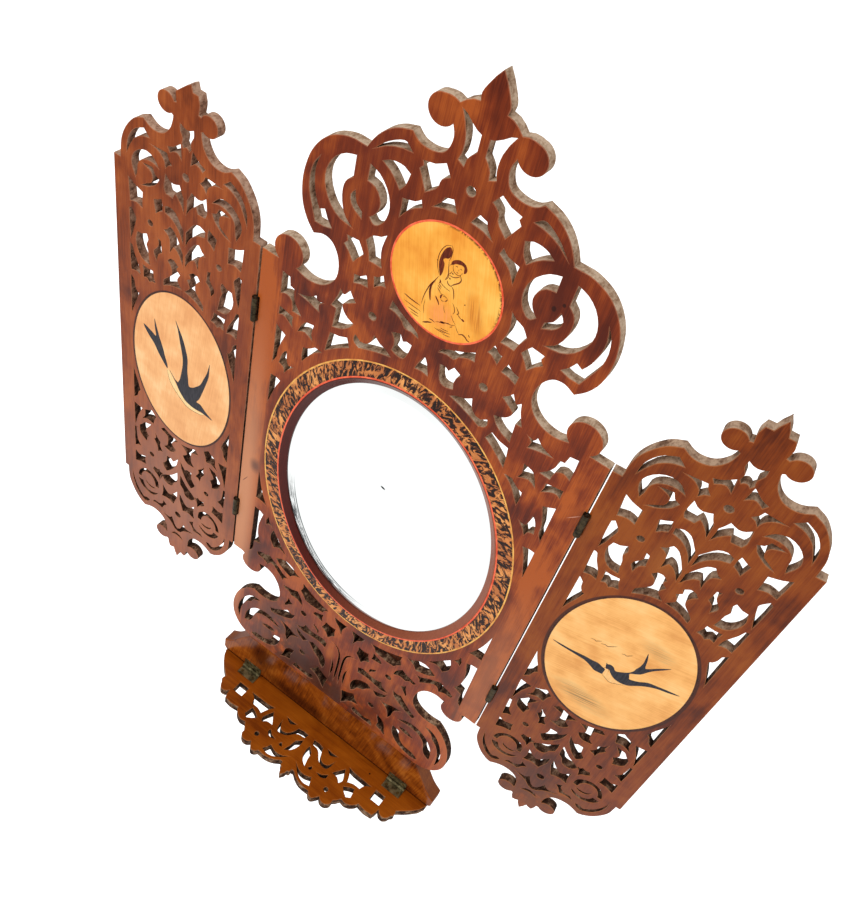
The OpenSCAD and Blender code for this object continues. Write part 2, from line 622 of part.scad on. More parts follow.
module hanger_cuts() {
    translate([0, 0, hang_z]) {
        board(hang_pocket + cut, board_t - hang_pocket) {
            circle(hang_r + cut);
            translate([-hang_r - cut, 0]) square([2 * (hang_r + cut), hang_slot_len]);
            translate([0, hang_slot_len]) circle(hang_r + cut);
        }
        for (x = [-plate_screw_x, plate_screw_x])
            translate([x, hang_y + cut, hang_slot_len / 2])
                rotate([90, 0, 0])
                    cylinder(r = screw_r + seat, h = plate_screw_len + cut + seat);
    }
}

plate_screw_len = plate_t + 4;

module hanging_plate() {
    color("#a8884a") translate([0, -plate_t, 0]) difference() {
        translate([-plate_w / 2, 0, (hang_slot_len - plate_h) / 2])
            cube([plate_w, plate_t, plate_h]);
        board(plate_t + 2 * cut, -cut) keyhole();
        for (x = [-plate_screw_x, plate_screw_x])
            translate([x, plate_t, hang_slot_len / 2]) rotate([90, 0, 0]) {
                cylinder(r1 = screw_head_r + seat, r2 = screw_r + seat, h = screw_head_r - screw_r);
                cylinder(r = screw_r + seat, h = plate_t + cut);
            }
    }
}

module countersunk(length) {
    cylinder(r1 = screw_head_r, r2 = screw_r, h = screw_head_r - screw_r);
    cylinder(r = screw_r, h = length);
}

module hanging_plate_screws() {
    color("goldenrod")
        for (x = [-plate_screw_x, plate_screw_x])
            translate([x, 0, hang_slot_len / 2])
                rotate([90, 0, 0]) countersunk(plate_screw_len);
}

// Wing: half outline from the finial down, measured from the hinge pin outwards
wing_outline = [
    [62.8, 393.5, 1], [60.2, 388.5], [58.8, 384.3, 1], [54.6, 384.2, 1], [53.3, 379.5],
    [53.5, 375], [54, 372.3, 1], [49, 371, 1], [45.8, 366, 1], [51.5, 362.5, 1],
    [51, 359], [49.3, 353.5], [45.5, 348.3], [41, 345.6], [35.5, 345], [31, 346.4],
    [27, 349, 1], [20, 345.5], [15, 340.2], [11, 334], [8.3, 327.5], [7, 321],
    [6.5, 311, 1], [0.8, 311, 1], [0.8, 0, 1], [4, 0, 1], [4.2, -5], [5, -14],
    [8, -22.5], [13, -31], [19, -36.8], [23.5, -39, 1], [28.5, -36], [34.5, -34],
    [41, -34.8], [46, -38], [49.3, -44], [50.2, -49], [50.5, -54, 1], [44.5, -56, 1],
    [45.5, -62, 1], [51.8, -63.5, 1], [52.5, -68], [54, -72.5, 1], [57.5, -71.5],
    [58.8, -70.5, 1], [60.3, -75.5], [62.8, -80.5, 1]
];
wing_balls = [[45.8, 368.8, 7], [44.5, -58.8, 7.2]];
wing_cuts = [
    [[12.3, 318, 1], [13, 326], [16, 333], [20.5, 338.3], [27.3, 342, 1],
        [32.3, 337.5, 1], [27, 336.3], [22, 333.5], [18, 329.5], [14.7, 323.5]],
    [[19.7, 303, 1], [17.3, 308], [16.2, 313.5], [18.2, 319.5], [23, 324.6],
        [29.5, 327], [36, 325], [40.2, 319.7, 1], [35, 321.3], [29, 320.6],
        [24, 317.6], [21.4, 313], [20.9, 307]],
    [[26.5, 316.7, 1], [30.5, 317.6], [34.7, 317.9, 1], [36.7, 313.6, 1],
        [40.3, 311.8, 1], [38, 307.3], [34, 303.7], [29.5, 301], [25, 299.8, 1],
        [29.5, 303.2], [33.3, 305.7], [34.6, 309.5], [34, 313], [31.5, 315]],
    [[34.5, 333.7, 1], [40.5, 334.2], [46.9, 334.6, 1], [48.2, 331], [51, 327.8, 1],
        [48, 326.3], [45.7, 323.2, 1], [44.8, 327.5], [41.5, 331.2], [38, 333]],
    [[47.3, 339.5, 1], [52, 341.5], [57.8, 346.3, 1], [58.4, 342], [59, 336, 1],
        [55.5, 339], [52, 338.3], [49.2, 336.3, 1]],
    [[62.8, 358.3, 1], [60.3, 358.8], [57.5, 360.4, 1], [57.3, 356], [59.5, 351.5],
        [58.8, 347, 1], [60.2, 344.8, 1], [61.3, 346], [62.8, 346.6, 1]],
    [[45.7, 319.3, 1], [48.5, 316.5], [52.5, 315.2], [57.6, 317.2, 1], [59.2, 313.3],
        [61.2, 309.5], [61.3, 304], [61.6, 299, 1], [59.5, 303], [56, 307.3],
        [53.7, 309, 1], [52, 304.6, 1], [46, 304.8, 1], [44.6, 308.5], [45, 314]],
    [[13.2, 300, 1], [18, 297], [25.5, 294.5, 1], [25.2, 288], [25.3, 282, 1],
        [20, 283.6], [14.3, 282, 1], [13.6, 290]],
    [[42.3, 298.3, 1], [43.2, 294], [43, 289.3, 1], [40, 287.5], [37.3, 284.8, 1],
        [36.3, 290], [35.5, 294.5, 1], [39, 296.2]],
    [[45.4, 294.6, 1], [50, 296.4], [54.8, 294.6], [58.3, 289.8], [61.6, 284.5, 1],
        [61.7, 274, 1], [59.5, 279.3], [55.8, 284.5], [51, 288.3], [45.6, 290, 1]],
    [[50, 281.3, 1], [54, 279.3], [58, 273], [61.6, 265.5, 1], [61.7, 256.5, 1],
        [59.5, 261], [56.3, 265.3], [53, 266.5, 1], [50.2, 260.8, 1], [50.3, 266],
        [49.5, 271.5], [47, 274.3], [44.3, 275.6, 1], [47.3, 277.5]],
    [[13.3, 275.7, 1], [15.2, 277.3, 1], [18.3, 273], [19.3, 270], [17.8, 264],
        [16, 257], [14, 251.5, 1], [13.4, 262]],
    [[20.5, 260.4, 1], [24.5, 260.8], [28.9, 263.3, 1], [30.2, 259], [28.5, 254.5],
        [30, 250], [30.7, 244], [31.8, 238.3, 1], [26, 239], [22, 242.5], [19.5, 248],
        [18.8, 254]],
    [[39.2, 265.8, 1], [41.8, 264.8, 1], [42.3, 259], [42.8, 255.5, 1], [39.5, 252.5],
        [38, 246.3, 1], [35.6, 250.5], [35.8, 254], [38.5, 257.3], [40, 261]],
    [[50.3, 255.3, 1], [54, 255.8], [57.7, 252.8, 1], [56.3, 249.5], [59.5, 246.8, 1],
        [57.5, 243], [57, 240.5], [59, 238], [61.4, 235.3, 1], [56, 234.4], [50, 232.2],
        [44.5, 228.7, 1], [44.6, 233.5], [48.5, 238], [51.8, 242], [52.3, 246],
        [50.5, 250], [48, 252.3, 1]],
    [[13, 246.5, 1], [15.3, 245.8], [17, 240], [19.8, 234], [21.8, 229], [22.5, 224, 1],
        [18.5, 225.3], [13.8, 224, 1], [13.2, 235]],
    [[24.7, 234.6, 1], [29.5, 234.2], [34.3, 234.7, 1], [35.2, 229.7], [37, 225.5, 1],
        [33.5, 225], [31, 223, 1], [28.5, 225.5], [25.5, 224.3, 1], [25.5, 229.5]],
    [[13.2, 219.3, 1], [16.3, 215.8], [16.8, 211.5], [18.5, 207.5], [20.6, 206.2, 1],
        [17.2, 195], [14.9, 184], [13.2, 172, 1]],
    [[13.2, 139.5, 1], [14.9, 127.6], [17.2, 116.6], [20.4, 106, 1], [18, 103],
        [16.8, 98], [13.4, 94, 1]],
    [[13.2, 88, 1], [17.5, 87], [22, 86.7, 1], [19.5, 81], [17, 75], [15.3, 68.5],
        [13.9, 61.5, 1], [13.4, 75]],
    [[25, 87.4, 1], [30, 90.2], [34.2, 93.6, 1], [35.2, 89.7], [37.4, 87.7, 1],
        [35.5, 84], [34, 77.3, 1], [28, 78.5], [22, 75, 1], [25, 80.5]],
    [[42.5, 78.3, 1], [46.3, 82.6, 1], [49.5, 80.6], [54, 78.6], [61.2, 76.8, 1],
        [58, 74.5], [55, 71.5], [55, 68.5], [58.8, 65, 1], [57, 61.5], [53, 58.7],
        [46, 60, 1], [49.5, 63.5], [50.3, 69], [50, 75], [46, 77]],
    [[24.3, 71.8, 1], [27, 72.5], [31.3, 74, 1], [28, 68.5], [25.5, 63.5],
        [29, 58.5, 1], [27, 55], [26.5, 50.5, 1], [22, 53], [19, 57], [18.8, 64.5, 1],
        [21.5, 67.5]],
    [[36, 68.8, 1], [38, 65], [42, 61, 1], [41.3, 57], [44.5, 51, 1], [41.5, 50.3],
        [39.5, 48, 1], [38.7, 54], [35, 60, 1], [37, 63]],
    [[13, 58.7, 1], [14.7, 58.3, 1], [15.3, 50.5], [16.5, 44], [20, 38.8, 1],
        [16.5, 38], [13.5, 35.3, 1], [13, 46]],
    [[49.3, 50.3, 1], [54, 50.4, 1], [56.5, 48.5], [61.4, 55.3, 1], [60, 47.5],
        [56.5, 40], [52.5, 34], [49, 30.8, 1], [46.3, 34], [44.8, 37.5, 1],
        [48.8, 43]],
    [[60.9, 37.7, 1], [61.2, 31], [60.7, 25.3, 1], [57.2, 21.5], [55.3, 16],
        [51, 14.6], [47, 16], [44, 20.8, 1], [47.8, 24.3], [54.5, 29.3]],
    [[13.3, 29, 1], [18, 26.5], [24.5, 29, 1], [24.3, 24], [25.3, 19, 1], [19, 18],
        [13.2, 15, 1], [13.2, 22]],
    [[35, 24.5, 1], [38.5, 23.8], [41, 25.2, 1], [42, 23], [45, 23.3, 1],
        [42, 18.5], [41, 12.5, 1], [39, 16], [36, 18], [33.5, 20.5, 1]],
    [[44.8, 9, 1], [47.5, 5.5], [51, 2.5], [55, 3.5], [61.2, 12.5, 1], [61, 5],
        [60, 1.5], [57.3, -7.3, 1], [53, -5.5], [49, -5.5], [44, -7.3, 1], [45.3, 0]],
    [[16, -1.5, 1], [17.5, 5], [21.5, 10.5], [27, 13.3], [33.4, 12.3], [39, 7],
        [40, -1.2, 1], [36.5, -1.6, 1], [35.5, 3], [33, 7.5], [28.5, 9.6], [23.3, 8],
        [20.3, 3], [19.5, -1.5, 1]],
    [[24.5, -1.8, 1], [27, -4], [31, -5.2], [36.5, -4.5, 1], [33, -7.2], [28.5, -6.9],
        [25.5, -4.5]],
    [[16, -6.5, 1], [21.5, -5.5, 1], [23.5, -10.5], [28, -13.3], [33.5, -12.5],
        [39, -9.5, 1], [36, -13.8], [31, -16.6], [25, -16], [19.5, -12.5]],
    [[9.3, -2.5, 1], [10.8, -10], [14, -18], [18.5, -24.5], [22.5, -28], [26, -26],
        [29.5, -27, 1], [27, -30.5], [23.5, -32.3, 1], [18.5, -29.5], [13.5, -23],
        [10, -13]],
    [[45, -12.5, 1], [49.8, -16.3, 1], [46.8, -19], [44, -25, 1], [38, -24],
        [33, -25.3, 1], [36, -21.5], [40, -21.5], [43.3, -19.8], [45.3, -16.5]],
    [[62.8, -38.3, 1], [60, -36.3], [57.8, -31.5], [56, -26.7, 1], [53.5, -30],
        [49.5, -30.3], [44.3, -29.6, 1], [50.5, -32.5], [55.5, -36], [59, -40.5],
        [62.8, -42.3, 1]],
    [[62.8, -45.7, 1], [59, -46.8], [55.8, -51, 1], [59.5, -49.4], [62.8, -48.8, 1]]
];
wing_drill_holes = [[32.3, 274, 2.4], [32.2, 38, 2.5], [62.8, 325.5, 2.7], [62.8, -18, 3.2]];
// The point of the left wing has broken off: everything above this slanting line
broken_point = [[56, 392], [59.9, 388.9], [63.3, 387], [68.3, 382.7], [72, 379.3],
    [76, 379.3], [76, 396], [56, 396]];

module wing_fret(broken) {
    offset(delta = 0) {
        translate([wing_mid, 0]) to_size([wing_w, post_h], drawn_wing) difference() {
            both_sides() translate([-drawn_wing_mid, 0]) {
                polygon(sawn(wing_outline, edge_steps));
                for (ball = wing_balls)
                    translate([ball[0], ball[1]]) circle(ball[2], $fn = 40);
            }
            both_sides() translate([-drawn_wing_mid, 0])
                half_cuts([wing_cuts], wing_drill_holes);
            if (broken) translate([-drawn_wing_mid, 0]) polygon(broken_point);
        }
        translate([wing_mid, wing_med_z])
            oval(wing_med_a + wing_rim, wing_med_b + wing_rim);
        for (x = [hinge_gap / 2, hinge_gap / 2 + wing_w - stile_w])
            translate([x, 0]) square([stile_w, post_h]);
    }
}

// A wing piece is drawn from the pin outwards, then carried to its post. At rest
// the right wing is swung back about its pin.
module on_wing(side) {
    from_hanger()
        mirror([side < 0 ? 1 : 0, 0, 0])
            translate([pin_x, -pin_proud, 0])
                rotate([0, 0, side < 0 ? 0 : right_wing_back])
                    translate([0, pin_proud, 0]) children();
}

module wing_panel(side) {
    color("sienna") on_wing(side) difference() {
        board(board_t) wing_fret(side < 0);
        translate([wing_mid, 0, wing_med_z])
            board(medallion_t + cut, -cut) oval(wing_med_a + seat, wing_med_b + seat);
        translate([-pin_x, 0, 0]) hinge_bed(1);
        wing_screw_cuts();
    }
}

module wing_medallion(side) {
    color("#f0b878") on_wing(side)
        translate([wing_mid, 0, 0])
            oval_plate(wing_med_a - wing_line_w - seat, wing_med_b - wing_line_w - seat,
                wing_med_z, medallion_t);
}

module wing_line(side) {
    color("#5a2a1a") on_wing(side)
        translate([wing_mid, 0, 0])
            oval_ring([wing_med_a, wing_med_b],
                [wing_med_a - wing_line_w, wing_med_b - wing_line_w], wing_med_z, medallion_t);
}

// Butt hinge with the pin along Z: the fixed leaf has the two outer knuckles
// and the moving leaf the middle one. The leaf stands back from the pin, offset
// to one side, as it lies in the gap between two edges.
module knuckle(length, outer_r) {
    difference() {
        cylinder(r = outer_r, h = length);
        translate([0, 0, -cut]) cylinder(r = pin_r + pin_fit, h = length + 2 * cut);
    }
}

module hinge_leaf(length, depth, outer_r, offset_x, moving) {
    share = (length - 2 * knuckle_gap) / 3;
    starts = moving ? [share + knuckle_gap] : [0, 2 * (share + knuckle_gap)];
    gaps = moving ? [0, 2 * (share + knuckle_gap)] : [share + knuckle_gap];
    plate_x = moving ? offset_x : -offset_x - leaf_t;
    difference() {
        union() {
            translate([plate_x, 0, 0]) cube([leaf_t, depth, length]);
            for (z = starts) translate([0, 0, z]) cylinder(r = outer_r, h = share);
        }
        for (z = gaps)
            translate([0, 0, z - knuckle_gap])
                cylinder(r = outer_r + knuckle_gap, h = share + 2 * knuckle_gap);
        translate([0, 0, -cut]) cylinder(r = pin_r + pin_fit, h = length + 2 * cut);
        for (z = [length / 6, length * 5 / 6])
            translate([moving ? plate_x : plate_x + leaf_t, screw_y(depth, outer_r), z])
                rotate([0, moving ? 90 : -90, 0]) {
                    cylinder(r1 = screw_head_r + seat, r2 = screw_r + seat,
                        h = screw_head_r - screw_r);
                    translate([0, 0, -cut]) cylinder(r = screw_r + seat, h = leaf_t + 2 * cut);
                }
    }
}

function screw_y(depth, outer_r) = (depth + outer_r + knuckle_gap) / 2;

module leaf_screws(length, depth, outer_r, offset_x, moving, shank) {
    for (z = [length / 6, length * 5 / 6])
        translate([moving ? offset_x : -offset_x, screw_y(depth, outer_r), z])
            rotate([0, moving ? 90 : -90, 0]) countersunk(shank);
}

module leaf_screw_cuts(length, depth, outer_r, offset_x, moving, shank) {
    for (z = [length / 6, length * 5 / 6])
        translate([moving ? offset_x : -offset_x, screw_y(depth, outer_r), z])
            rotate([0, moving ? 90 : -90, 0])
                cylinder(r = screw_r + seat, h = shank + seat);
}

// In a wing hinge each leaf lies in a bed, flush with its edge of the gap
wing_leaf_offset = hinge_gap / 2;

module at_wing_hinge(side, z) {
    from_hanger()
        mirror([side < 0 ? 1 : 0, 0, 0])
            translate([pin_x, -pin_proud, z - hinge_len / 2]) children();
}

module wing_hinge_fixed_leaf(side, z) {
    color("#4e4a3a") at_wing_hinge(side, z)
        hinge_leaf(hinge_len, leaf_depth, knuckle_r, wing_leaf_offset, false);
}

module wing_hinge_moving_leaf(side, z) {
    color("#4e4a3a") on_wing(side)
        translate([0, -pin_proud, z - hinge_len / 2])
            hinge_leaf(hinge_len, leaf_depth, knuckle_r, wing_leaf_offset, true);
}

module wing_hinge_pin(side, z) {
    color("#6b6650") at_wing_hinge(side, z) cylinder(r = pin_r, h = hinge_len);
}

module post_screw_cuts() {
    for (z = hinge_heights)
        translate([pin_x, -pin_proud, z - hinge_len / 2])
            leaf_screw_cuts(hinge_len, leaf_depth, knuckle_r, wing_leaf_offset, false, screw_len);
}

module wing_screw_cuts() {
    for (z = hinge_heights)
        translate([0, -pin_proud, z - hinge_len / 2])
            leaf_screw_cuts(hinge_len, leaf_depth, knuckle_r, wing_leaf_offset, true, screw_len);
}

module post_hinge_screws() {
    color("goldenrod")
        for (side = [-1, 1])
            for (z = hinge_heights)
                at_wing_hinge(side, z)
                    leaf_screws(hinge_len, leaf_depth, knuckle_r, wing_leaf_offset, false,
                        screw_len);
}

module wing_hinge_screws(side) {
    color("goldenrod") on_wing(side)
        for (z = hinge_heights)
            translate([0, -pin_proud, z - hinge_len / 2])
                leaf_screws(hinge_len, leaf_depth, knuckle_r, wing_leaf_offset, true, screw_len);
}

// Shelf: half outline of the top face, from the pendant back to the base board
shelf_outline = [
    [0, -62, 1], [2.6, -58.5], [3.2, -55.3, 1], [5.2, -54.5], [5.3, -51.8, 1],
    [8, -51.5], [12, -54.3], [18, -56.8], [24, -57.5], [29.5, -57.3, 1], [32, -60],
    [36, -60.5], [40.6, -54.8, 1], [43.5, -57.3], [48, -57.6], [52, -54.5],
    [52.2, -50, 1], [54.5, -48], [57.2, -44.2, 1], [62.3, -45], [67.5, -43],
    [71, -39.5], [71.8, -37.6, 1], [75, -38.2], [81, -38.8], [87.6, -38, 1],
    [89, -33.5], [89.4, -30, 1], [92.5, -33], [96.8, -33.5], [100, -30.8],
    [101.3, -27.5], [103.3, -25.5], [102.5, -21, 1], [109, -15.8], [115, -10],
    [118.8, -5.5], [drawn_shelf_back, 0, 1], [0, 0, 1]
];
shelf_cuts = [
    [[76.9, -17.2, 1], [87.4, -17.2, 1], [87.4, -27.3, 1], [76.9, -27.3, 1]],
    [[45.3, -16.2, 1], [52, -17.3], [62, -17.5], [71.3, -17.8, 1], [66, -21.5],
        [64.5, -26.2, 1], [57.5, -26.3], [52, -28.3, 1], [49.5, -22]],
    [[51.5, -34, 1], [56.5, -31], [61, -29.3, 1], [62, -33], [63, -38, 1],
        [59.3, -40.3, 1], [55, -37.5]],
    [[43.3, -20, 1], [46, -25], [47.8, -30.5], [46, -34.3, 1], [42, -30.8],
        [36, -30.5, 1], [38.5, -26.5]],
    [[5, -44.5, 1], [9, -47], [14, -48.3], [19, -48], [24, -46, 1], [25.5, -49.5],
        [28, -53.3, 1], [22, -54.6], [16, -53.2], [10, -49.5]],
    [[3.8, -16.5, 1], [9, -16.2], [14.8, -17.5, 1], [16.5, -22.5], [20, -27.5],
        [25, -29], [29, -27], [31.5, -21.5, 1], [31.2, -26], [29.3, -31.2],
        [24, -31.6], [18.5, -29], [14, -23.5], [10, -21.3], [5, -20.8]],
    [[19, -15.5, 1], [24, -15.9], [30.5, -15.5, 1], [24, -18.8]],
    [[4, -23.5, 1], [6.5, -26], [9.3, -28.5], [10.2, -34.5], [12.3, -41.7, 1],
        [8, -39], [4.8, -34], [3.6, -28]],
    [[15.5, -41, 1], [18, -37.8], [19.3, -40.2], [17.8, -41.6, 1]],
    [[25, -39.4, 1], [30, -38], [34.3, -34.6, 1], [34.6, -38.2], [30, -40.6]]
];
shelf_drill_holes = [[41.1, -46.2, 2.2]];

module shelf_fret() {
    offset(delta = 0) {
        to_size([base_w, shelf_reach], drawn_shelf) difference() {
            both_sides() polygon(sawn(shelf_outline, edge_steps));
            both_sides() half_cuts([shelf_cuts], shelf_drill_holes);
        }
        shelf_back_x = drawn_shelf_back * base_w / drawn_shelf[0];
        translate([-shelf_back_x, -cut]) square([2 * shelf_back_x, shelf_tuck + cut]);
    }
}

module shelf_panel() {
    color("peru") from_hanger() difference() {
        translate([0, 0, shelf_top - shelf_t]) linear_extrude(shelf_t) shelf_fret();
        shelf_screw_cuts();
    }
}

// In a shelf hinge the fixed leaf stands on the base board and the moving leaf lies
// on the shelf. Both are drawn standing up from a pin that runs along X.
module at_shelf_hinge(side) {
    from_hanger()
        translate([side * shelf_hinge_x, shelf_pin_y, shelf_pin_z]) children();
}

module shelf_leaf_shape(moving) {
    share = (shelf_hinge_len - 2 * knuckle_gap) / 3;
    step = share + knuckle_gap;
    starts = moving ? [step] : [0, 2 * step];
    gaps = moving ? [0, 2 * step] : [step];
    difference() {
        union() {
            translate([-shelf_hinge_len / 2, shelf_pin_out - leaf_t, 0])
                cube([shelf_hinge_len, leaf_t, shelf_leaf_depth]);
            for (x = starts)
                translate([x - shelf_hinge_len / 2, 0, 0]) rotate([0, 90, 0])
                    cylinder(r = shelf_knuckle_r, h = share);
        }
        for (x = gaps)
            translate([x - knuckle_gap - shelf_hinge_len / 2, 0, 0]) rotate([0, 90, 0])
                cylinder(r = shelf_knuckle_r + knuckle_gap, h = share + 2 * knuckle_gap);
        translate([-shelf_hinge_len / 2 - cut, 0, 0]) rotate([0, 90, 0])
            cylinder(r = pin_r + pin_fit, h = shelf_hinge_len + 2 * cut);
        at_shelf_leaf_screws() {
            cylinder(r1 = screw_head_r + seat, r2 = screw_r + seat, h = screw_head_r - screw_r);
            translate([0, 0, -cut]) cylinder(r = screw_r + seat, h = leaf_t + 2 * cut);
        }
    }
}

module at_shelf_leaf_screws() {
    for (x = [-shelf_hinge_len / 3, shelf_hinge_len / 3])
        translate([x, shelf_pin_out - leaf_t, (shelf_leaf_depth + shelf_knuckle_r) / 2])
            rotate([-90, 0, 0]) children();
}

// Turns a piece drawn on the base board down onto the shelf
module lay_on_shelf() {
    mirror([0, 0, 1]) rotate([90, 0, 0]) children();
}

module shelf_hinge_fixed_leaf(side) {
    color("#57523e") at_shelf_hinge(side) shelf_leaf_shape(false);
}

module shelf_hinge_moving_leaf(side) {
    color("#57523e") at_shelf_hinge(side) lay_on_shelf() shelf_leaf_shape(true);
}

module shelf_hinge_pin(side) {
    color("#8a8468") at_shelf_hinge(side)
        translate([-shelf_hinge_len / 2, 0, 0]) rotate([0, 90, 0])
            cylinder(r = pin_r, h = shelf_hinge_len);
}

module base_screw_cuts() {
    for (side = [-1, 1])
        translate([side * shelf_hinge_x, shelf_pin_y, shelf_pin_z])
            at_shelf_leaf_screws() cylinder(r = screw_r + seat, h = screw_len + seat);
}

module shelf_screw_cuts() {
    for (side = [-1, 1])
        translate([side * shelf_hinge_x, shelf_pin_y, shelf_pin_z])
            lay_on_shelf() at_shelf_leaf_screws()
                cylinder(r = screw_r + seat, h = screw_len + seat);
}

module base_hinge_screws() {
    color("goldenrod")
        for (side = [-1, 1])
            at_shelf_hinge(side) at_shelf_leaf_screws() countersunk(screw_len);
}

module shelf_hinge_screws() {
    color("goldenrod")
        for (side = [-1, 1])
            at_shelf_hinge(side) lay_on_shelf() at_shelf_leaf_screws() countersunk(screw_len);
}

centre_panel();
base_board();
apron_backing();
mirror_slip();
red_line();
burl_band();
yellow_line();
mirror_glass();
mirror_backing();
backing_screws();
crest_medallion();
crest_line();
hanging_plate();
hanging_plate_screws();
wing_panel(-1);  // left_wing_panel
wing_medallion(-1);  // left_wing_medallion
wing_line(-1);  // left_wing_line
wing_panel(1);  // right_wing_panel
wing_medallion(1);  // right_wing_medallion
wing_line(1);  // right_wing_line
wing_hinge_fixed_leaf(-1, hinge_low_z);  // left_low_hinge_fixed_leaf
wing_hinge_moving_leaf(-1, hinge_low_z);  // left_low_hinge_moving_leaf
wing_hinge_pin(-1, hinge_low_z);  // left_low_hinge_pin
wing_hinge_fixed_leaf(-1, hinge_high_z);  // left_high_hinge_fixed_leaf
wing_hinge_moving_leaf(-1, hinge_high_z);  // left_high_hinge_moving_leaf
wing_hinge_pin(-1, hinge_high_z);  // left_high_hinge_pin
wing_hinge_fixed_leaf(1, hinge_low_z);  // right_low_hinge_fixed_leaf
wing_hinge_moving_leaf(1, hinge_low_z);  // right_low_hinge_moving_leaf
wing_hinge_pin(1, hinge_low_z);  // right_low_hinge_pin
wing_hinge_fixed_leaf(1, hinge_high_z);  // right_high_hinge_fixed_leaf
wing_hinge_moving_leaf(1, hinge_high_z);  // right_high_hinge_moving_leaf
wing_hinge_pin(1, hinge_high_z);  // right_high_hinge_pin
post_hinge_screws();
wing_hinge_screws(-1);  // left_wing_hinge_screws
wing_hinge_screws(1);  // right_wing_hinge_screws
shelf_panel();
shelf_hinge_fixed_leaf(-1);  // left_shelf_hinge_fixed_leaf
shelf_hinge_moving_leaf(-1);  // left_shelf_hinge_moving_leaf
shelf_hinge_pin(-1);  // left_shelf_hinge_pin
shelf_hinge_fixed_leaf(1);  // right_shelf_hinge_fixed_leaf
shelf_hinge_moving_leaf(1);  // right_shelf_hinge_moving_leaf
shelf_hinge_pin(1);  // right_shelf_hinge_pin
base_hinge_screws();
shelf_hinge_screws();
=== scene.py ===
# %% [markdown]
# A folding triptych mirror of fretsawn walnut, about 1900 in style. The solids of every
# part come from the CAD frame. This file dresses them: worn arrises on the sawn boards,
# polished wood with dust and with painted light and painted shade in its colour, inlay,
# silvered glass and old brass. Lengths are metres, apart from those of the drawing, which
# are millimetres.

# %% Load the solids
import math

import bmesh
import bpy
import numpy as np
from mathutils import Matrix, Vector


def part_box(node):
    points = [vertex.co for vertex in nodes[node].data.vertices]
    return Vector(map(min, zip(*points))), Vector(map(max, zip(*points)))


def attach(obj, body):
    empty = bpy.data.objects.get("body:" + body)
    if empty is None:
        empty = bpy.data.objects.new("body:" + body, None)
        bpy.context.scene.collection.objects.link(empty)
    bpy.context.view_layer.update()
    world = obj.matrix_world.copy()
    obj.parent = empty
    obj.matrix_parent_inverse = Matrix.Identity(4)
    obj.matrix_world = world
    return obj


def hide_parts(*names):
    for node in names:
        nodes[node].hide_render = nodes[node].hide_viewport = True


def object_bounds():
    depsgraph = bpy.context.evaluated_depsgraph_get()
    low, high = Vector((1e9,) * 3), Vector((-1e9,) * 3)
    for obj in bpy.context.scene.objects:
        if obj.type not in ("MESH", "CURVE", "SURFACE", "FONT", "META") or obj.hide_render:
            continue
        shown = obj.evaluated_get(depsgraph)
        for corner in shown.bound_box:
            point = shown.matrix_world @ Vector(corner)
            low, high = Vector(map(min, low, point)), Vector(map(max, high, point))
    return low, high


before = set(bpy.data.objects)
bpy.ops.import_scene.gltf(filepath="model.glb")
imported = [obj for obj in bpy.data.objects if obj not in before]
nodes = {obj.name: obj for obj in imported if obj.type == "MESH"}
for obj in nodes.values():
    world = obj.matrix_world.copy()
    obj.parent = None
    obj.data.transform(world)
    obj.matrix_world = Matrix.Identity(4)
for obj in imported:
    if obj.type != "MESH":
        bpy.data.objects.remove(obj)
cad_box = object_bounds()

# %% [markdown]
# The drawings of the boards are measured in millimetres from the feet of the posts, on the
# front face of the centre panel. The frame has its origin in the hole of the hanging plate.
# These values carry one to the other, and repeat the main sizes of the solids.

# %% The drawing's own measures
MM = 0.001
HANGER = np.array([0.0, 8.2, 363.5])
MIRROR_Z = 148.0
GLASS_HALF = (86.2, 119.8)
SLIP_W = 5.6
BURL_OUTER = (105.2, 138.8)
CREST_Z = 361.5
CREST_R = 36.7
CREST_LINE_W = 1.2
PIN_X = 125.8
PIN_PROUD = 1.0
WING_MID = 63.2
WING_MEDALLION = (49.0, 73.5, 155.8)
RIGHT_WING_BACK = math.radians(7.4)


def from_drawing(points):
    """Takes drawing millimetres off the hanger's place and turns them into metres."""
    return (np.asarray(points, float) - HANGER) * MM


def on_wing(points, side):
    """Carries (out from the pin, depth, height) to a wing: the right one is first turned
    about its pin by the angle at which it rests, the left one is only mirrored."""
    out, depth, height = np.asarray(points, float).T
    turn = RIGHT_WING_BACK if side > 0 else 0.0
    depth = depth + PIN_PROUD
    x = out * math.cos(turn) - depth * math.sin(turn)
    y = out * math.sin(turn) + depth * math.cos(turn) - PIN_PROUD
    return from_drawing(np.stack([side * (PIN_X + x), y, height], axis=1))


# %% [markdown]
# The camera stands to the right of the mirror, above it and close, and is rolled, as the
# person held it who took the picture. Its place and turn were worked out from the posts,
# the base board and the shelf, whose corners are square in the real thing.

# %% Camera
FOCAL_MM = 38.37
CAMERA_PLACE = (0.177, -0.394, 0.3211)
CAMERA_TURN = (41.52082, -11.83093, 34.93371)

camera_data = bpy.data.cameras.new("camera")
camera_data.lens = FOCAL_MM
camera_data.sensor_width = 36.0
camera_data.sensor_fit = "AUTO"
camera = bpy.data.objects.new("camera", camera_data)
camera.location = CAMERA_PLACE
camera.rotation_euler = [math.radians(a) for a in CAMERA_TURN]
bpy.context.scene.collection.objects.link(camera)
bpy.context.scene.camera = camera
bpy.context.scene.view_settings.view_transform = "Standard"
print("camera at", CAMERA_PLACE, "lens", FOCAL_MM)

# %% [markdown]
# Materials are small networks of nodes. This helper keeps them short to write: it adds a
# node, sets its plain values, and links sockets. Patterns read Object coordinates, so a
# grain stays in its board when the wing turns.

# %% A brush for materials


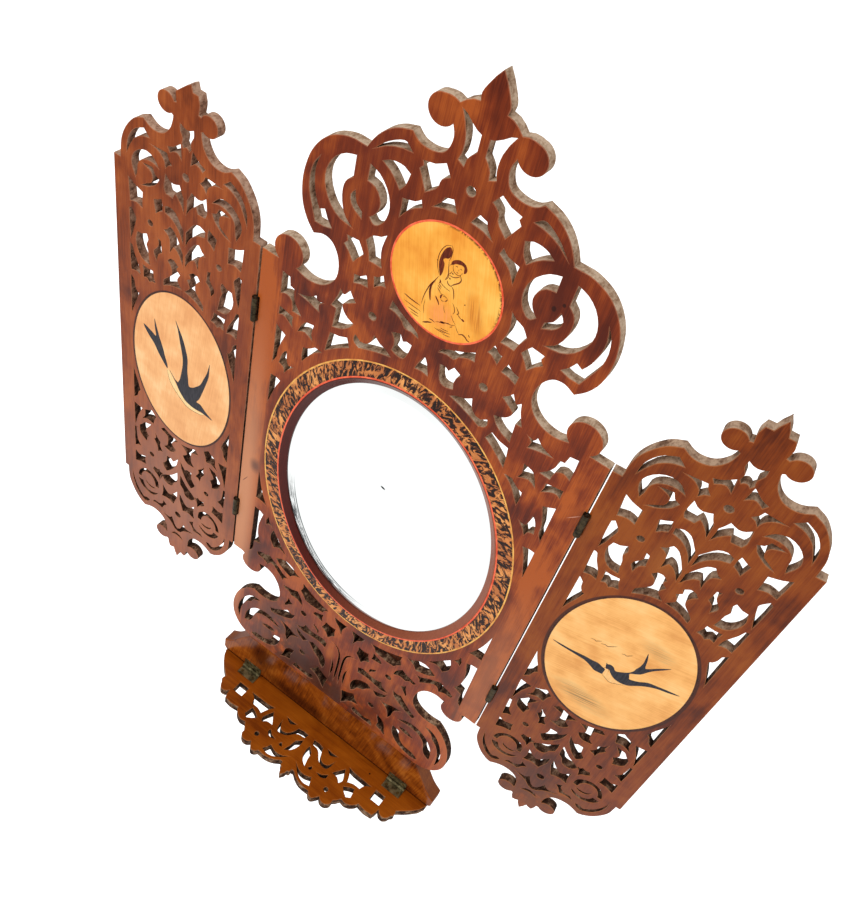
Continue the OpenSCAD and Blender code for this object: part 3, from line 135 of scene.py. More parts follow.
class Finish:
    """One material and the nodes that colour it."""

    def __init__(self, name, roughness=0.5, metallic=0.0, polish=0.16):
        self.material = bpy.data.materials.new(name)
        self.material.use_nodes = True
        self.tree = self.material.node_tree
        self.shader = self.tree.nodes["Principled BSDF"]
        self.shade(Roughness=roughness, Metallic=metallic, Specular_IOR_Level=polish)
        self.coords = self.tree.nodes.new("ShaderNodeTexCoord")

    def put(self, socket, value):
        """Links a socket to a socket, or writes a plain value into it."""
        if isinstance(value, bpy.types.NodeSocket):
            self.tree.links.new(value, socket)
        else:
            socket.default_value = value

    def shade(self, **values):
        """Feeds the shader: names are its sockets, with _ for a space."""
        for name, value in values.items():
            self.put(self.shader.inputs[name.replace("_", " ")], value)
        return self

    def add(self, kind, settings=(), **values):
        """Adds a node. Settings are fields of its own; values go to the sockets that they
        name, with _ for a space."""
        node = self.tree.nodes.new("ShaderNode" + kind)
        for name, value in dict(settings).items():
            setattr(node, name, value)
        for name, value in values.items():
            self.put(node.inputs[name.replace("_", " ")], value)
        return node

    def placed(self, stretch, turn=(0, 0, 0), centre=(0, 0, 0)):
        """Object coordinates seen from a centre, turned, and measured in lengths of
        stretch along each axis."""
        node = self.add("Mapping", {"vector_type": "TEXTURE"}, Location=centre, Rotation=turn,
                        Scale=stretch, Vector=self.coords.outputs["Object"])
        return node.outputs["Vector"]

    def noise(self, vector, detail=4.0, roughness=0.55, distortion=0.0):
        """Cloudy noise between 0 and 1, with one cell for each unit of the vector."""
        node = self.add("TexNoise", Vector=vector, Scale=1.0, Detail=detail,
                        Roughness=roughness, Distortion=distortion)
        return node.outputs["Fac"]

    def grain(self, cell, detail=4.0, roughness=0.55, distortion=0.0, **place):
        """Noise whose cells have these lengths along the axes, or one length along all."""
        if isinstance(cell, float):
            cell = (cell, cell, cell)
        return self.noise(self.placed(cell, **place), detail, roughness, distortion)

    def sums(self, operation, a, b=0.0):
        """One sum on two numbers."""
        node = self.add("Math", {"operation": operation})
        self.put(node.inputs[0], a)
        self.put(node.inputs[1], b)
        return node.outputs[0]

    def times(self, a, b):
        """One number times another."""
        return self.sums("MULTIPLY", a, b)

    def weighed(self, *parts):
        """The sum of (pattern, weight) pairs."""
        total = 0.0
        for pattern, weight in parts:
            total = self.sums("ADD", self.times(pattern, weight), total)
        return total

    def fade(self, value, low, high):
        """0 below low and 1 above high, with a soft step between them."""
        node = self.add("MapRange", {"interpolation_type": "SMOOTHSTEP"}, Value=value,
                        From_Min=low, From_Max=high)
        return node.outputs["Result"]

    def falls(self, value, low, high):
        """1 below low and 0 above high: the fade the other way round."""
        return self.sums("SUBTRACT", 1.0, self.fade(value, low, high))

    def ramp(self, value, *stops):
        """Colours along a number: each stop is (place, colour)."""
        node = self.add("ValToRGB", Fac=value)
        band = node.color_ramp.elements
        while len(band) < len(stops):
            band.new(0.5)
        for element, (place, colour) in zip(band, stops):
            element.position = place
            element.color = rgb(colour)
        return node.outputs["Color"]

    def mix(self, share, first, second, blend="MIX"):
        """First colour where share is 0 and second where it is 1."""
        node = self.add("Mix", {"data_type": "RGBA", "blend_type": blend}, Factor=share)
        self.put(node.inputs[6], rgb(first))
        self.put(node.inputs[7], rgb(second))
        return node.outputs[2]

    def stain(self, wood, pattern, strength, colour):
        """Lays a colour over a wood where a pattern is strong."""
        return self.mix(self.times(pattern, strength), wood, colour)

    def bump(self, height, strength, depth):
        """Raises the shading by a height pattern, depth metres at full strength."""
        return self.add("Bump", Strength=strength, Distance=depth, Height=height).outputs["Normal"]

    def split(self, source, axis):
        """One axis of a kind of coordinates: Object is in metres, Normal is a direction."""
        return self.add("SeparateXYZ", Vector=self.coords.outputs[source]).outputs[axis]

    def axis(self, name):
        """One object coordinate as a number, in metres."""
        return self.split("Object", name)

    def facing(self, flat="Y"):
        """How squarely the surface faces along the board's flat axis, from 0 to 1."""
        return self.sums("ABSOLUTE", self.split("Normal", flat))

    def walls(self, square):
        """1 on the sawn walls of a board and 0 on its faces, from how squarely it faces."""
        return self.falls(square, 0.3, 0.5)

    def joined(self, x, y):
        """Two numbers as one vector."""
        return self.add("CombineXYZ", X=x, Y=y).outputs[0]

    def length(self, vector):
        """The length of a vector."""
        node = self.add("VectorMath", {"operation": "LENGTH"})
        self.put(node.inputs[0], vector)
        return node.outputs["Value"]

    def spot(self, centre, half, turn=0.0, soft=0.5, flat="Y"):
        """A soft oval patch on the face of a board, 1 inside and 0 outside. The board is
        flat along one axis; turn is about that axis."""
        if flat == "Y":
            stretch, turning, keep = (half[0], 1.0, half[1]), (0, turn, 0), (1, 0, 1)
        else:
            stretch, turning, keep = (half[0], half[1], 1.0), (0, 0, turn), (1, 1, 0)
        level = self.add("VectorMath", {"operation": "MULTIPLY"})
        self.put(level.inputs[0], self.placed(stretch, turning, tuple(centre)))
        self.put(level.inputs[1], keep)
        return self.falls(self.length(level.outputs[0]), 1.0 - soft, 1.0)


def linear(channel):
    """One screen colour channel, 0 to 255, as light."""
    c = channel / 255
    return c / 12.92 if c <= 0.04045 else ((c + 0.055) / 1.055) ** 2.4


def rgb(colour):
    """A screen colour written as three numbers, as the light that Blender reads. What is
    already a socket passes through."""
    if isinstance(colour, bpy.types.NodeSocket):
        return colour
    return (*[linear(c) for c in colour], 1.0)


# %% [markdown]
# The picture was taken in soft white light over a white table. What shines mirrors the
# table: near the mirror it is bright, farther out it falls off, so the glare grows towards
# the feet of the panels. The floor is pure white to the camera, keeps the shadow, and has
# a brightness of its own for reflections that fades with the distance.

# %% Floor, world and lamps
FLOOR_DROP = 0.16
WORLD_FILL = 0.6
WORLD_GLOSS = 0.45
FLOOR_GLOW = 0.8
NEAR_GLOSS = 1.12
FAR_GLOSS = 0.5
GLOSS_FADE = (0.8, 1.2)
FLOOR_HALF = 6.0
FLOOR_WHITE = (236, 236, 236)
MIDDLE = (0.0, 0.0, -0.2)


def ray_switch(tree, plain, for_camera, for_gloss):
    """Chooses a shader by the kind of ray: the camera's, a mirrored or refracted one, or
    the scattered light that reaches the wood."""
    path = tree.nodes.new("ShaderNodeLightPath")
    shiny = tree.nodes.new("ShaderNodeMath")
    shiny.operation = "MAXIMUM"
    tree.links.new(path.outputs["Is Glossy Ray"], shiny.inputs[0])
    tree.links.new(path.outputs["Is Transmission Ray"], shiny.inputs[1])
    gloss = tree.nodes.new("ShaderNodeMixShader")
    tree.links.new(shiny.outputs[0], gloss.inputs[0])
    tree.links.new(plain, gloss.inputs[1])
    tree.links.new(for_gloss, gloss.inputs[2])
    eye = tree.nodes.new("ShaderNodeMixShader")
    tree.links.new(path.outputs["Is Camera Ray"], eye.inputs[0])
    tree.links.new(gloss.outputs[0], eye.inputs[1])
    tree.links.new(for_camera, eye.inputs[2])
    return eye.outputs[0]


def background(tree, strength):
    """White light of one strength from all sides."""
    node = tree.nodes.new("ShaderNodeBackground")
    node.inputs["Color"].default_value = (1, 1, 1, 1)
    node.inputs["Strength"].default_value = strength
    return node.outputs[0]


def make_world():
    """White to the camera, dimmer as fill light and in the gloss."""
    world = bpy.data.worlds.new("white_room")
    bpy.context.scene.world = world
    world.use_nodes = True
    tree = world.node_tree
    chosen = ray_switch(tree, background(tree, WORLD_FILL), background(tree, 1.0),
                        background(tree, WORLD_GLOSS))
    tree.links.new(chosen, tree.nodes["World Output"].inputs["Surface"])


def make_floor():
    """A wide plate below the mirror, with the glow that polish and glass see in it."""
    height = cad_box[0].z - FLOOR_DROP
    corners = [(x * FLOOR_HALF, y * FLOOR_HALF, height)
               for x, y in ((-1, -1), (1, -1), (1, 1), (-1, 1))]
    mesh = bpy.data.meshes.new("floor")
    mesh.from_pydata(corners, [], [(0, 1, 2, 3)])
    floor = bpy.data.objects.new("floor", mesh)
    bpy.context.scene.collection.objects.link(floor)
    finish = Finish("pale_floor", roughness=0.9)
    finish.shade(Base_Color=rgb(FLOOR_WHITE))
    tree = finish.tree
    glow = tree.nodes.new("ShaderNodeEmission")
    glow.inputs["Strength"].default_value = FLOOR_GLOW
    seen = tree.nodes.new("ShaderNodeAddShader")
    tree.links.new(finish.shader.outputs[0], seen.inputs[0])
    tree.links.new(glow.outputs[0], seen.inputs[1])
    away = finish.length(finish.joined(finish.axis("X"), finish.axis("Y")))
    lost = finish.times(finish.fade(away, *GLOSS_FADE), NEAR_GLOSS - FAR_GLOSS)
    mirrored = tree.nodes.new("ShaderNodeEmission")
    finish.put(mirrored.inputs["Strength"], finish.sums("SUBTRACT", NEAR_GLOSS, lost))
    chosen = ray_switch(tree, finish.shader.outputs[0], seen.outputs[0], mirrored.outputs[0])
    tree.links.new(chosen, tree.nodes["Material Output"].inputs["Surface"])
    mesh.materials.append(finish.material)
    return floor


def soft_lamp(name, place, target, size, power):
    """A square area lamp at a place, turned to look at a target. It isn't seen in the
    polish."""
    data = bpy.data.lights.new(name, "AREA")
    data.size = size
    data.energy = power
    lamp = bpy.data.objects.new(name, data)
    lamp.location = place
    way = Vector(target) - Vector(place)
    lamp.rotation_euler = way.to_track_quat("-Z", "Y").to_euler()
    lamp.visible_glossy = False
    bpy.context.scene.collection.objects.link(lamp)
    return lamp


make_world()
floor = make_floor()
soft_lamp("window", (-0.7, -1.2, 1.3), MIDDLE, 1.4, 20.0)
soft_lamp("far_wall", (1.4, -0.9, 0.2), MIDDLE, 1.2, 7.0)
print("floor at", round(floor.data.vertices[0].co.z, 3))

# %% [markdown]
# Every sawn board is one thickness of walnut with its outline and its openings cut by a
# fretsaw. The solid has knife-sharp edges; on a real board they are rubbed round and catch
# the light as a thin line. So each board is copied, its loose triangles are merged into
# whole faces, and the edges where the front or back meets a sawn wall get a small bevel.
# The rims of the inlay recesses are left sharp, because the inlay fills them.

# %% Sawn boards with worn edges
ARRIS = 0.00035
WALL_TURN = math.radians(50)
WALL_SQUARE = 0.3
FLAT_SQUARE = 0.999
FLAT_TURN = math.radians(0.4)
SHARP_TURN = math.radians(28)
SAME_POINT = 1e-6
SLIVER = 2e-6
RIM_BAND = 0.006


def beside_inlay(points, ovals):
    """True for points that lie on one of the oval rims, where the oval's own equation
    (x/a)^2 + (z/b)^2 comes to 1."""
    hit = np.zeros(len(points), bool)
    for centre, half in ovals:
        across = (points[:, 0] - centre[0]) / half[0]
        up = (points[:, 2] - centre[1]) / half[1]
        hit |= abs(np.hypot(across, up) - 1.0) < RIM_BAND
    return hit


def whole_board(node):
    """A copy of a CAD board with its triangles merged into whole faces."""
    mesh = nodes[node].data.copy()
    mesh.name = node + "_dressed"
    mesh.materials.clear()
    work = bmesh.new()
    work.from_mesh(mesh)
    bmesh.ops.remove_doubles(work, verts=work.verts, dist=SAME_POINT)
    bmesh.ops.dissolve_limit(work, angle_limit=FLAT_TURN, verts=work.verts,
                             edges=work.edges)
    return mesh, work


def dressed_board(node, material, body, ovals=(), arris=ARRIS):
    """Bevels the edges between the flat faces of a board and its sawn walls. Only walls
    are shaded smooth; the flats and the bevels stay flat."""
    mesh, work = whole_board(node)
    largest = max(work.faces, key=lambda f: f.calc_area())
    front = largest.normal.copy()
    chosen = []
    for edge in work.edges:
        if len(edge.link_faces) != 2:
            continue
        one, two = edge.link_faces
        flats = sum(abs(f.normal.dot(front)) > FLAT_SQUARE for f in (one, two))
        if flats == 1 and one.normal.angle(two.normal, 0.0) > WALL_TURN:
            chosen.append(edge)
    middles = np.array([(e.verts[0].co + e.verts[1].co) / 2 for e in chosen])
    rim = beside_inlay(middles, ovals)
    chosen = [e for e, on_rim in zip(chosen, rim) if not on_rim]
    bmesh.ops.bevel(work, geom=chosen, offset=arris, offset_type="OFFSET", segments=1,
                    profile=0.5, affect="EDGES", clamp_overlap=False)
    bmesh.ops.remove_doubles(work, verts=work.verts, dist=SLIVER)
    bmesh.ops.dissolve_degenerate(work, dist=SLIVER, edges=work.edges)
    bmesh.ops.triangulate(work, faces=[f for f in work.faces if len(f.verts) > 4])
    work.to_mesh(mesh)
    work.free()
    mesh.set_sharp_from_angle(angle=SHARP_TURN)
    normals = np.empty(len(mesh.polygons) * 3)
    mesh.polygons.foreach_get("normal", normals)
    square = abs(normals.reshape(-1, 3) @ np.array(front))
    mesh.polygons.foreach_set("use_smooth", square < WALL_SQUARE)
    mesh.materials.append(material)
    board = bpy.data.objects.new(node + "_dressed", mesh)
    bpy.context.scene.collection.objects.link(board)
    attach(board, body)
    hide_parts(node)
    print(node, "edges worn:", len(chosen), "faces:", len(mesh.polygons))
    return board


# %% [markdown]
# Walnut under old shellac is red-brown with soft dark clouds, streaks along the board and
# fine pores. The sawn walls were never polished and carry dust, and their colour also holds
# painted light and shade: walls that face up and walls high on the mirror are painted pale,
# as if lit from above, while further down they are painted dark, as painted shade with the
# grime of handling. The worn arris between front and wall is painted paler, partly as wear
# and partly as a painted highlight. The sizes are cells of noise in metres: the first four
# are (across the grain, along it).

# %% Walnut
CLOUDS = (0.03, 0.055)
STREAKS = (0.0042, 0.09)
FIBRES = (0.0007, 0.016)
PORES = (0.0003, 0.004)
SMEARS = 0.006
SPECKS = (0.0011, 0.0022, 0.0011)
SAW_MARKS = (0.0006, 0.012, 0.0006)
# Cell size of the patches that break up the painted shade at the feet.
FOOT_SHADE_PATCHES = 0.014
POST_INNER = 0.1082
POST_EDGE = 0.0004
# How much paler the posts are painted: a painted glare.
POST_GLARE_LIFT = 0.075
DEEP = 0.0003
SHALLOW = 0.0002
# Dark and middle wall tones: painted shade with grime, for the lower walls.
WALL_SHADE_AND_GRIME = (34, 18, 12)
WALL_HALF_SHADE_AND_GRIME = (72, 46, 32)


def walnut(name, colours, along="Z", flat="Y", roughness=0.27, paler_between=(-0.34, 0.0), seed=0.0,
           marks=(), post_glare_from=None, dust_and_light=((150, 118, 92), (200, 174, 148))):
    """Polished front, dusted sawn walls. The grain is noise drawn out along one axis; which
    surface is a wall is read from the direction that it faces. Over the walls' own noise,
    walls that face up and walls high up are painted paler, as if lit from above, and the rest
    darker, as painted shade; the paler tone, of painted light and dusting, comes between two
    given heights. Marks are (centre, half sizes, turn, softness, strength, colour). Beyond a
    given distance from the middle the posts are painted paler: a painted glare."""
    dark, middle, light, arris = colours
    finish = Finish(name, roughness)

    def drawn_out(size, detail, coarse=0.55, distortion=0.0):
        """Noise that is short across the grain and long along it."""
        short, long = size
        cell = (short, short, long) if along == "Z" else (long, short, short)
        return finish.grain(cell, detail, coarse, distortion,
                            centre=(seed, seed * 0.3, seed * 0.7))

    clouds = drawn_out(CLOUDS, 3.0, 0.6, 0.4)
    fibres = drawn_out(FIBRES, 2.0)
    blend = finish.weighed((clouds, 0.6), (drawn_out(STREAKS, 4.0, 0.5), 0.22), (fibres, 0.18))
    # The posts are painted paler beyond a given distance from the middle: a painted glare.
    if post_glare_from:
        out = finish.sums("ABSOLUTE", finish.axis("X"))
        post_glare = finish.fade(out, post_glare_from, post_glare_from + POST_EDGE)
        blend = finish.sums("ADD", blend, finish.times(post_glare, POST_GLARE_LIFT))
    wood = finish.ramp(blend, (0.38, dark), (0.49, middle), (0.6, light))
    pores = finish.fade(drawn_out(PORES, 2.0), 0.63, 0.76)
    wood = finish.stain(wood, pores, 0.35, dark)
    # Marks in the foot shade colour are painted shade, mottled by patches of noise.
    shade_patches = finish.fade(finish.grain(FOOT_SHADE_PATCHES, 3.0), 0.3, 0.5)
    for centre, half, turn, soft, strength, colour in marks:
        spot = finish.spot(centre, half, turn, soft, flat)
        if colour == FOOT_SHADE:
            spot = finish.times(spot, shade_patches)
        wood = finish.stain(wood, spot, strength, colour)
    square = finish.facing(flat)
    # The arris faces are painted paler: partly wear, partly a painted highlight.
    worn_and_highlit = finish.times(finish.fade(square, 0.4, 0.6), finish.falls(square, 0.8, 0.97))
    wood = finish.stain(wood, worn_and_highlit, 0.35, arris)
    # Wall colour: noise of dust, plus painted light: walls that face up and walls above the given
    # heights are painted paler, the rest darker as painted shade.
    dust_light_and_shade = finish.weighed(
        (finish.grain(SMEARS, 5.0, 0.62), 0.72), (finish.grain(SPECKS, 2.0), 0.28),
        (finish.split("Normal", "Z"), 0.07), (finish.fade(finish.axis("Z"), *paler_between), 0.2))
    wall = finish.ramp(dust_light_and_shade, (0.42, WALL_SHADE_AND_GRIME), (0.55, WALL_HALF_SHADE_AND_GRIME), (0.67, dust_and_light[0]),
                       (0.82, dust_and_light[1]))
    is_wall = finish.walls(square)
    rough = finish.sums("ADD", roughness, finish.weighed((is_wall, 0.55), (clouds, 0.1)))
    saw = finish.times(finish.grain(SAW_MARKS, 3.0), is_wall)
    relief = finish.weighed((saw, 1.5), (fibres, -0.2), (pores, -0.2))
    finish.shade(Base_Color=finish.mix(is_wall, wood, wall), Roughness=rough,
                 Normal=finish.bump(relief, 0.4, DEEP))
    return finish


def two_toned(name, tones, cell, detail, roughness, strength, coarse=0.55, light_at=0.65,
              depth=SHALLOW):
    """A wood of two tones: one noise mixes them and raises the surface by its strength."""
    finish = Finish(name, roughness)
    pattern = finish.grain(cell, detail, coarse)
    finish.shade(Base_Color=finish.ramp(pattern, (0.35, tones[0]), (light_at, tones[1])),
                 Normal=finish.bump(pattern, strength, depth))
    return finish


# %% [markdown]
# Each board carries marks, each a soft oval patch of one colour. Some are of age: knots, a
# scratch, a crack, a bruise and a nail hole, with patches of other tone. Others are painted
# light and shade: painted shade at the feet of the boards and over the crest, a painted
# shade strip on the left wing, painted glare on the posts and low on the left wing, and a
# dark seam around the wing medallions that is partly glue and partly painted shadow of its
# groove.

# %% Marks of age, painted shade and painted glare


def mark(x, z, wide, high, strength, colour, turn=0.0, soft=0.9, y=0):
    """A mark at a place of the drawing, in its millimetres. Wide and high are half sizes."""
    return (from_drawing([[x, y, z]])[0], (wide * MM, high * MM), turn, soft, strength, colour)


def wing_mark(side, out, z, wide, high, strength, colour, soft=0.9):
    """A mark on the front of a wing: out is measured from the pin."""
    place = on_wing([[out, 0, z]], side)[0]
    return (place, (wide * MM, high * MM), 0.0, soft, strength, colour)


def inlay_edge(side, width):
    """The dark seam of glue and wear just outside the line of a wing's medallion, with painted
    shadow of its groove.
    """
    half_a, half_b, height = WING_MEDALLION
    return wing_mark(side, WING_MID, height, half_a + width, half_b + width, 0.85, SEAM_AND_SHADE, 0.01)


# Painted shade at the feet of the apron and the right wing.
FOOT_SHADE = (62, 36, 28)
KNOT = (48, 16, 8)
# Dark seam: glue and wear, with painted shadow of the groove around the medallion.
SEAM_AND_SHADE = (60, 26, 16)
# Painted glare: the pale tones painted on the right post and on the left post.
RIGHT_POST_GLARE = (186, 118, 80)
LEFT_POST_GLARE = (206, 138, 98)
PALE_LEAF = (190, 104, 42)
# Painted glare: a pale patch low on the left wing.
LEFT_WING_GLARE = (176, 122, 98)
RED_CLOUD = (96, 34, 24)
# Painted shade over the top of the centre panel.
CREST_TOP_SHADE = (92, 34, 20)
WING_SHADE = (96, 32, 28)
AMBER_PATCH = (172, 104, 44)
BRUISE = (74, 52, 50)
CRACK = (96, 50, 34)
SCRATCH = (224, 166, 140)
NAIL_HOLE = (30, 12, 6)

PANEL_MARKS = [
    # Painted shade over the apron, at the foot of the centre panel.
    mark(-62, -66, 62, 62, 0.75, FOOT_SHADE),
    mark(-20, -104, 120, 44, 0.9, FOOT_SHADE),
    mark(52, -60, 44, 44, 0.5, FOOT_SHADE),
    mark(-12, -50, 7, 16, 0.6, PALE_LEAF),
    mark(-62, 420, 30, 34, 0.45, RED_CLOUD),
    # Painted shade over the crest.
    mark(0, 390, 150, 110, 0.35, CREST_TOP_SHADE),
    # Painted glare on the left post, then a fainter one on the right post.
    mark(-120, 60, 18, 230, 1.0, LEFT_POST_GLARE),
    mark(117, 60, 22, 150, 0.45, RIGHT_POST_GLARE),
    mark(-112, 114, 7, 11, 0.7, BRUISE),
    mark(-120, 92, 0.5, 6, 0.8, CRACK, turn=0.5, soft=0.6),
    mark(62, 385, 1.7, 2.2, 0.9, KNOT, soft=0.5),
    mark(66.5, 390, 1.3, 1.6, 0.9, KNOT, soft=0.5),
    mark(119.5, 263, 6.7, 0.35, 0.7, SCRATCH, turn=math.radians(-48), soft=0.6),
]
LEFT_MARKS = [
    # Painted glare low on the left wing.
    wing_mark(-1, 63, 20, 100, 150, 0.5, LEFT_WING_GLARE),
    wing_mark(-1, 10, 240, 9, 110, 0.3, WING_SHADE),
    inlay_edge(-1, 0.5),
]
RIGHT_MARKS = [
    # Painted shade at the foot of the right wing.
    wing_mark(1, 63, -40, 80, 70, 0.5, FOOT_SHADE),
    wing_mark(1, 52, 268, 15, 28, 0.35, AMBER_PATCH),
    inlay_edge(1, 1.1),
]
SHELF_MARKS = [mark(63, 0, 1.1, 1.1, 0.95, NAIL_HOLE, soft=0.4, y=-9)]
print("marks:", [len(m) for m in (PANEL_MARKS, LEFT_MARKS, RIGHT_MARKS, SHELF_MARKS)])

# %% [markdown]
# The four fretted boards share one walnut, each with its own tones and its own piece of
# noise. The posts of the centre panel are painted paler than the fretwork between them: a
# painted glare.

# %% Walnut of the four boards
# The fourth tone of each set is the pale arris: wear and a painted highlight.
PANEL_TONES = ((84, 28, 12), (128, 50, 18), (174, 84, 30), (200, 136, 100))
LEFT_TONES = ((98, 38, 12), (142, 64, 22), (168, 86, 36), (200, 140, 104))
RIGHT_TONES = ((84, 30, 6), (126, 54, 10), (148, 74, 20), (200, 136, 90))
SHELF_TONES = ((116, 50, 4), (142, 68, 6), (160, 82, 12), (190, 124, 70))
# Pale wall tones of each wing: dust, and painted light on high walls that face up.
LEFT_DUST_AND_LIGHT = ((144, 104, 82), (190, 154, 130))
RIGHT_DUST_AND_LIGHT = ((134, 102, 80), (186, 156, 130))

panel_walnut = walnut("panel_walnut", PANEL_TONES, seed=0.11, post_glare_from=POST_INNER,
                      marks=PANEL_MARKS)
left_walnut = walnut("left_wing_walnut", LEFT_TONES, seed=0.37, dust_and_light=LEFT_DUST_AND_LIGHT,
                     marks=LEFT_MARKS)
right_walnut = walnut("right_wing_walnut", RIGHT_TONES, seed=0.71, dust_and_light=RIGHT_DUST_AND_LIGHT,
                      marks=RIGHT_MARKS)
shelf_walnut = walnut("shelf_walnut", SHELF_TONES, along="X", flat="Z", roughness=0.36,
                      paler_between=(-0.7, -0.3), seed=0.23, marks=SHELF_MARKS)
print("walnut finishes:", 4)

# %% [markdown]
# Each board of the real mirror was sawn from its own plank, so each has its own piece of
# grain. The centre panel and the wings leave the edges around the inlay sharp, because a
# medallion and its line were planed flush with the board.

# %% Dress the boards
SEAT = 0.04
mirror_centre = from_drawing([[0, 0, MIRROR_Z]])[0]
crest_centre = from_drawing([[0, 0, CREST_Z]])[0]
panel_ovals = [
    ((mirror_centre[0], mirror_centre[2]), tuple((h + SEAT) * MM for h in BURL_OUTER)),
    ((crest_centre[0], crest_centre[2]), ((CREST_R + SEAT) * MM, (CREST_R + SEAT) * MM)),
]
dressed_board("centre_panel", panel_walnut.material, "base",
              ovals=panel_ovals)
for side, name, tone in ((-1, "left_wing", left_walnut), (1, "right_wing", right_walnut)):
    half_a, half_b, height = WING_MEDALLION
    middle = on_wing([[WING_MID, 0, height]], side)[0]
    squeeze = math.cos(RIGHT_WING_BACK) if side > 0 else 1.0
    oval = ((middle[0], middle[2]), ((half_a + SEAT) * MM * squeeze, (half_b + SEAT) * MM))
    dressed_board(name + "_panel", tone.material, name, ovals=[oval])
dressed_board("shelf_panel", shelf_walnut.material, "shelf")

# %% [markdown]
# The base board is the showpiece of the timber: thicker and golden brown, with a feathered
# figure that crosses it in dark and bright flames under a thick gloss. Its upper left, its
# lower middle and its foot along the shelf are painted dark: painted shade.

# %% Base board
# Painted shade on the base board, at its upper left, lower middle and along its foot.
BASE_SHADE = (48, 14, 6)
BASE_WALL = (112, 68, 48)
BASE_TONES = ((0.38, (74, 28, 6)), (0.47, (118, 54, 12)), (0.56, (142, 70, 16)),
              (0.68, (176, 98, 32)))
BASE_SHADE_MARKS = [mark(-78, -136, 26, 30, 0.75, BASE_SHADE), mark(-36, -162, 66, 15, 0.75, BASE_SHADE)]
BASE_ARRIS = 0.0008
JOINT_SHADE_FULL = 0.0014
JOINT_SHADE_END = 0.0042


def figured_walnut():
    """Flames: a slow noise, bent by its own distortion, darkens a fine noise that is drawn
    out across the board."""
    finish = Finish("base_walnut", 0.2, polish=0.08)
    flames = finish.grain((0.05, 0.03, 0.03), 3.0, 0.55, 1.0, turn=(0, 0.5, 0),
                          centre=(0.03, 0, 0))
    fibres = finish.grain((0.0016, 0.0016, 0.022), 4.0, 0.6, turn=(0, 0.15, 0))
    wood = finish.ramp(finish.weighed((flames, 0.6), (fibres, 0.4)), *BASE_TONES)
    # Painted shade patches on the base board.
    for centre, half, turn, soft, strength, colour in BASE_SHADE_MARKS:
        wood = finish.stain(wood, finish.spot(centre, half, turn, soft), strength, colour)
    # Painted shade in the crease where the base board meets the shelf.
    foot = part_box("base_board")[0].z
    joint_shade = finish.falls(finish.axis("Z"), foot + JOINT_SHADE_FULL, foot + JOINT_SHADE_END)
    wood = finish.stain(wood, joint_shade, 0.95, BASE_SHADE)
    is_wall = finish.walls(finish.facing())
    wood = finish.stain(wood, is_wall, 0.6, BASE_WALL)
    finish.shade(Base_Color=wood, Normal=finish.bump(fibres, 0.15, SHALLOW),
                 Roughness=finish.sums("ADD", 0.18, finish.times(is_wall, 0.3)))
    return finish


dressed_board("base_board", figured_walnut().material, "base",
              arris=BASE_ARRIS)

# %% [markdown]
# Pieces that the solids don't have are built from arrays of points. An oval moulding or
# plate is a small profile carried round the oval: each point of the profile runs round an
# oval of its own, smaller by its distance inwards.

# %% Shapes on grids
OVAL_STEPS = 192


def grid_quads(rows, columns, wrap_rows=False, wrap_columns=False):
    """Numbers the corners of every cell of a grid, rows by columns."""
    r = np.arange(rows if wrap_rows else rows - 1)
    c = np.arange(columns if wrap_columns else columns - 1)
    r, c = [a.ravel() for a in np.meshgrid(r, c, indexing="ij")]
    below, right = (r + 1) % rows, (c + 1) % columns
    return np.stack([r * columns + c, r * columns + right, below * columns + right,
                     below * columns + c], axis=1)


def make_piece(name, points, faces, material, body, sharp=30.0):
    """Builds a mesh from arrays, turns its faces outward and lets it ride on a body."""
    mesh = bpy.data.meshes.new(name)
    mesh.from_pydata(points.tolist(), [], [tuple(f) for f in faces])
    work = bmesh.new()
    work.from_mesh(mesh)
    bmesh.ops.recalc_face_normals(work, faces=work.faces)
    work.to_mesh(mesh)
    work.free()
    mesh.polygons.foreach_set("use_smooth", np.ones(len(mesh.polygons), bool))
    mesh.set_sharp_from_angle(angle=math.radians(sharp))
    mesh.materials.append(material)
    piece = bpy.data.objects.new(name, mesh)
    bpy.context.scene.collection.objects.link(piece)
    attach(piece, body)
    print(name, "points:", len(points), "faces:", len(mesh.polygons))
    return piece


def round_oval(profile, half, height):
    """Carries (inwards, depth) points round an oval: x = (a - inwards) cos t and
    z = height + (b - inwards) sin t."""
    turn = np.linspace(0, 2 * math.pi, OVAL_STEPS, endpoint=False)[:, None]
    inwards, depth = np.asarray(profile, float).T
    x = (half[0] - inwards) * np.cos(turn)
    z = height + (half[1] - inwards) * np.sin(turn)
    y = np.broadcast_to(depth, x.shape)
    return np.stack([x, y, z], axis=2).reshape(-1, 3)


# %% [markdown]
# A slip of bent or sawn wood covers the edge of the glass. It is a small moulding, rounded
# towards the glass, and it is painted darker on the left than on the right: painted shade
# and light across it.

# %% Dark slip around the glass
SLIP_T = 3.5
SLIP_PROFILE = [(0, SLIP_T), (0, 0.25), (0.12, 0.06), (0.4, 0.0), (0.9, 0.12), (1.4, 0.5),
                (4.9, 2.35), (5.3, 2.65), (SLIP_W, 3.0), (SLIP_W, SLIP_T)]
SLIP_HALF = (GLASS_HALF[0] + SLIP_W, GLASS_HALF[1] + SLIP_W)
SLIP_SHADE = (-0.07, 0.09)


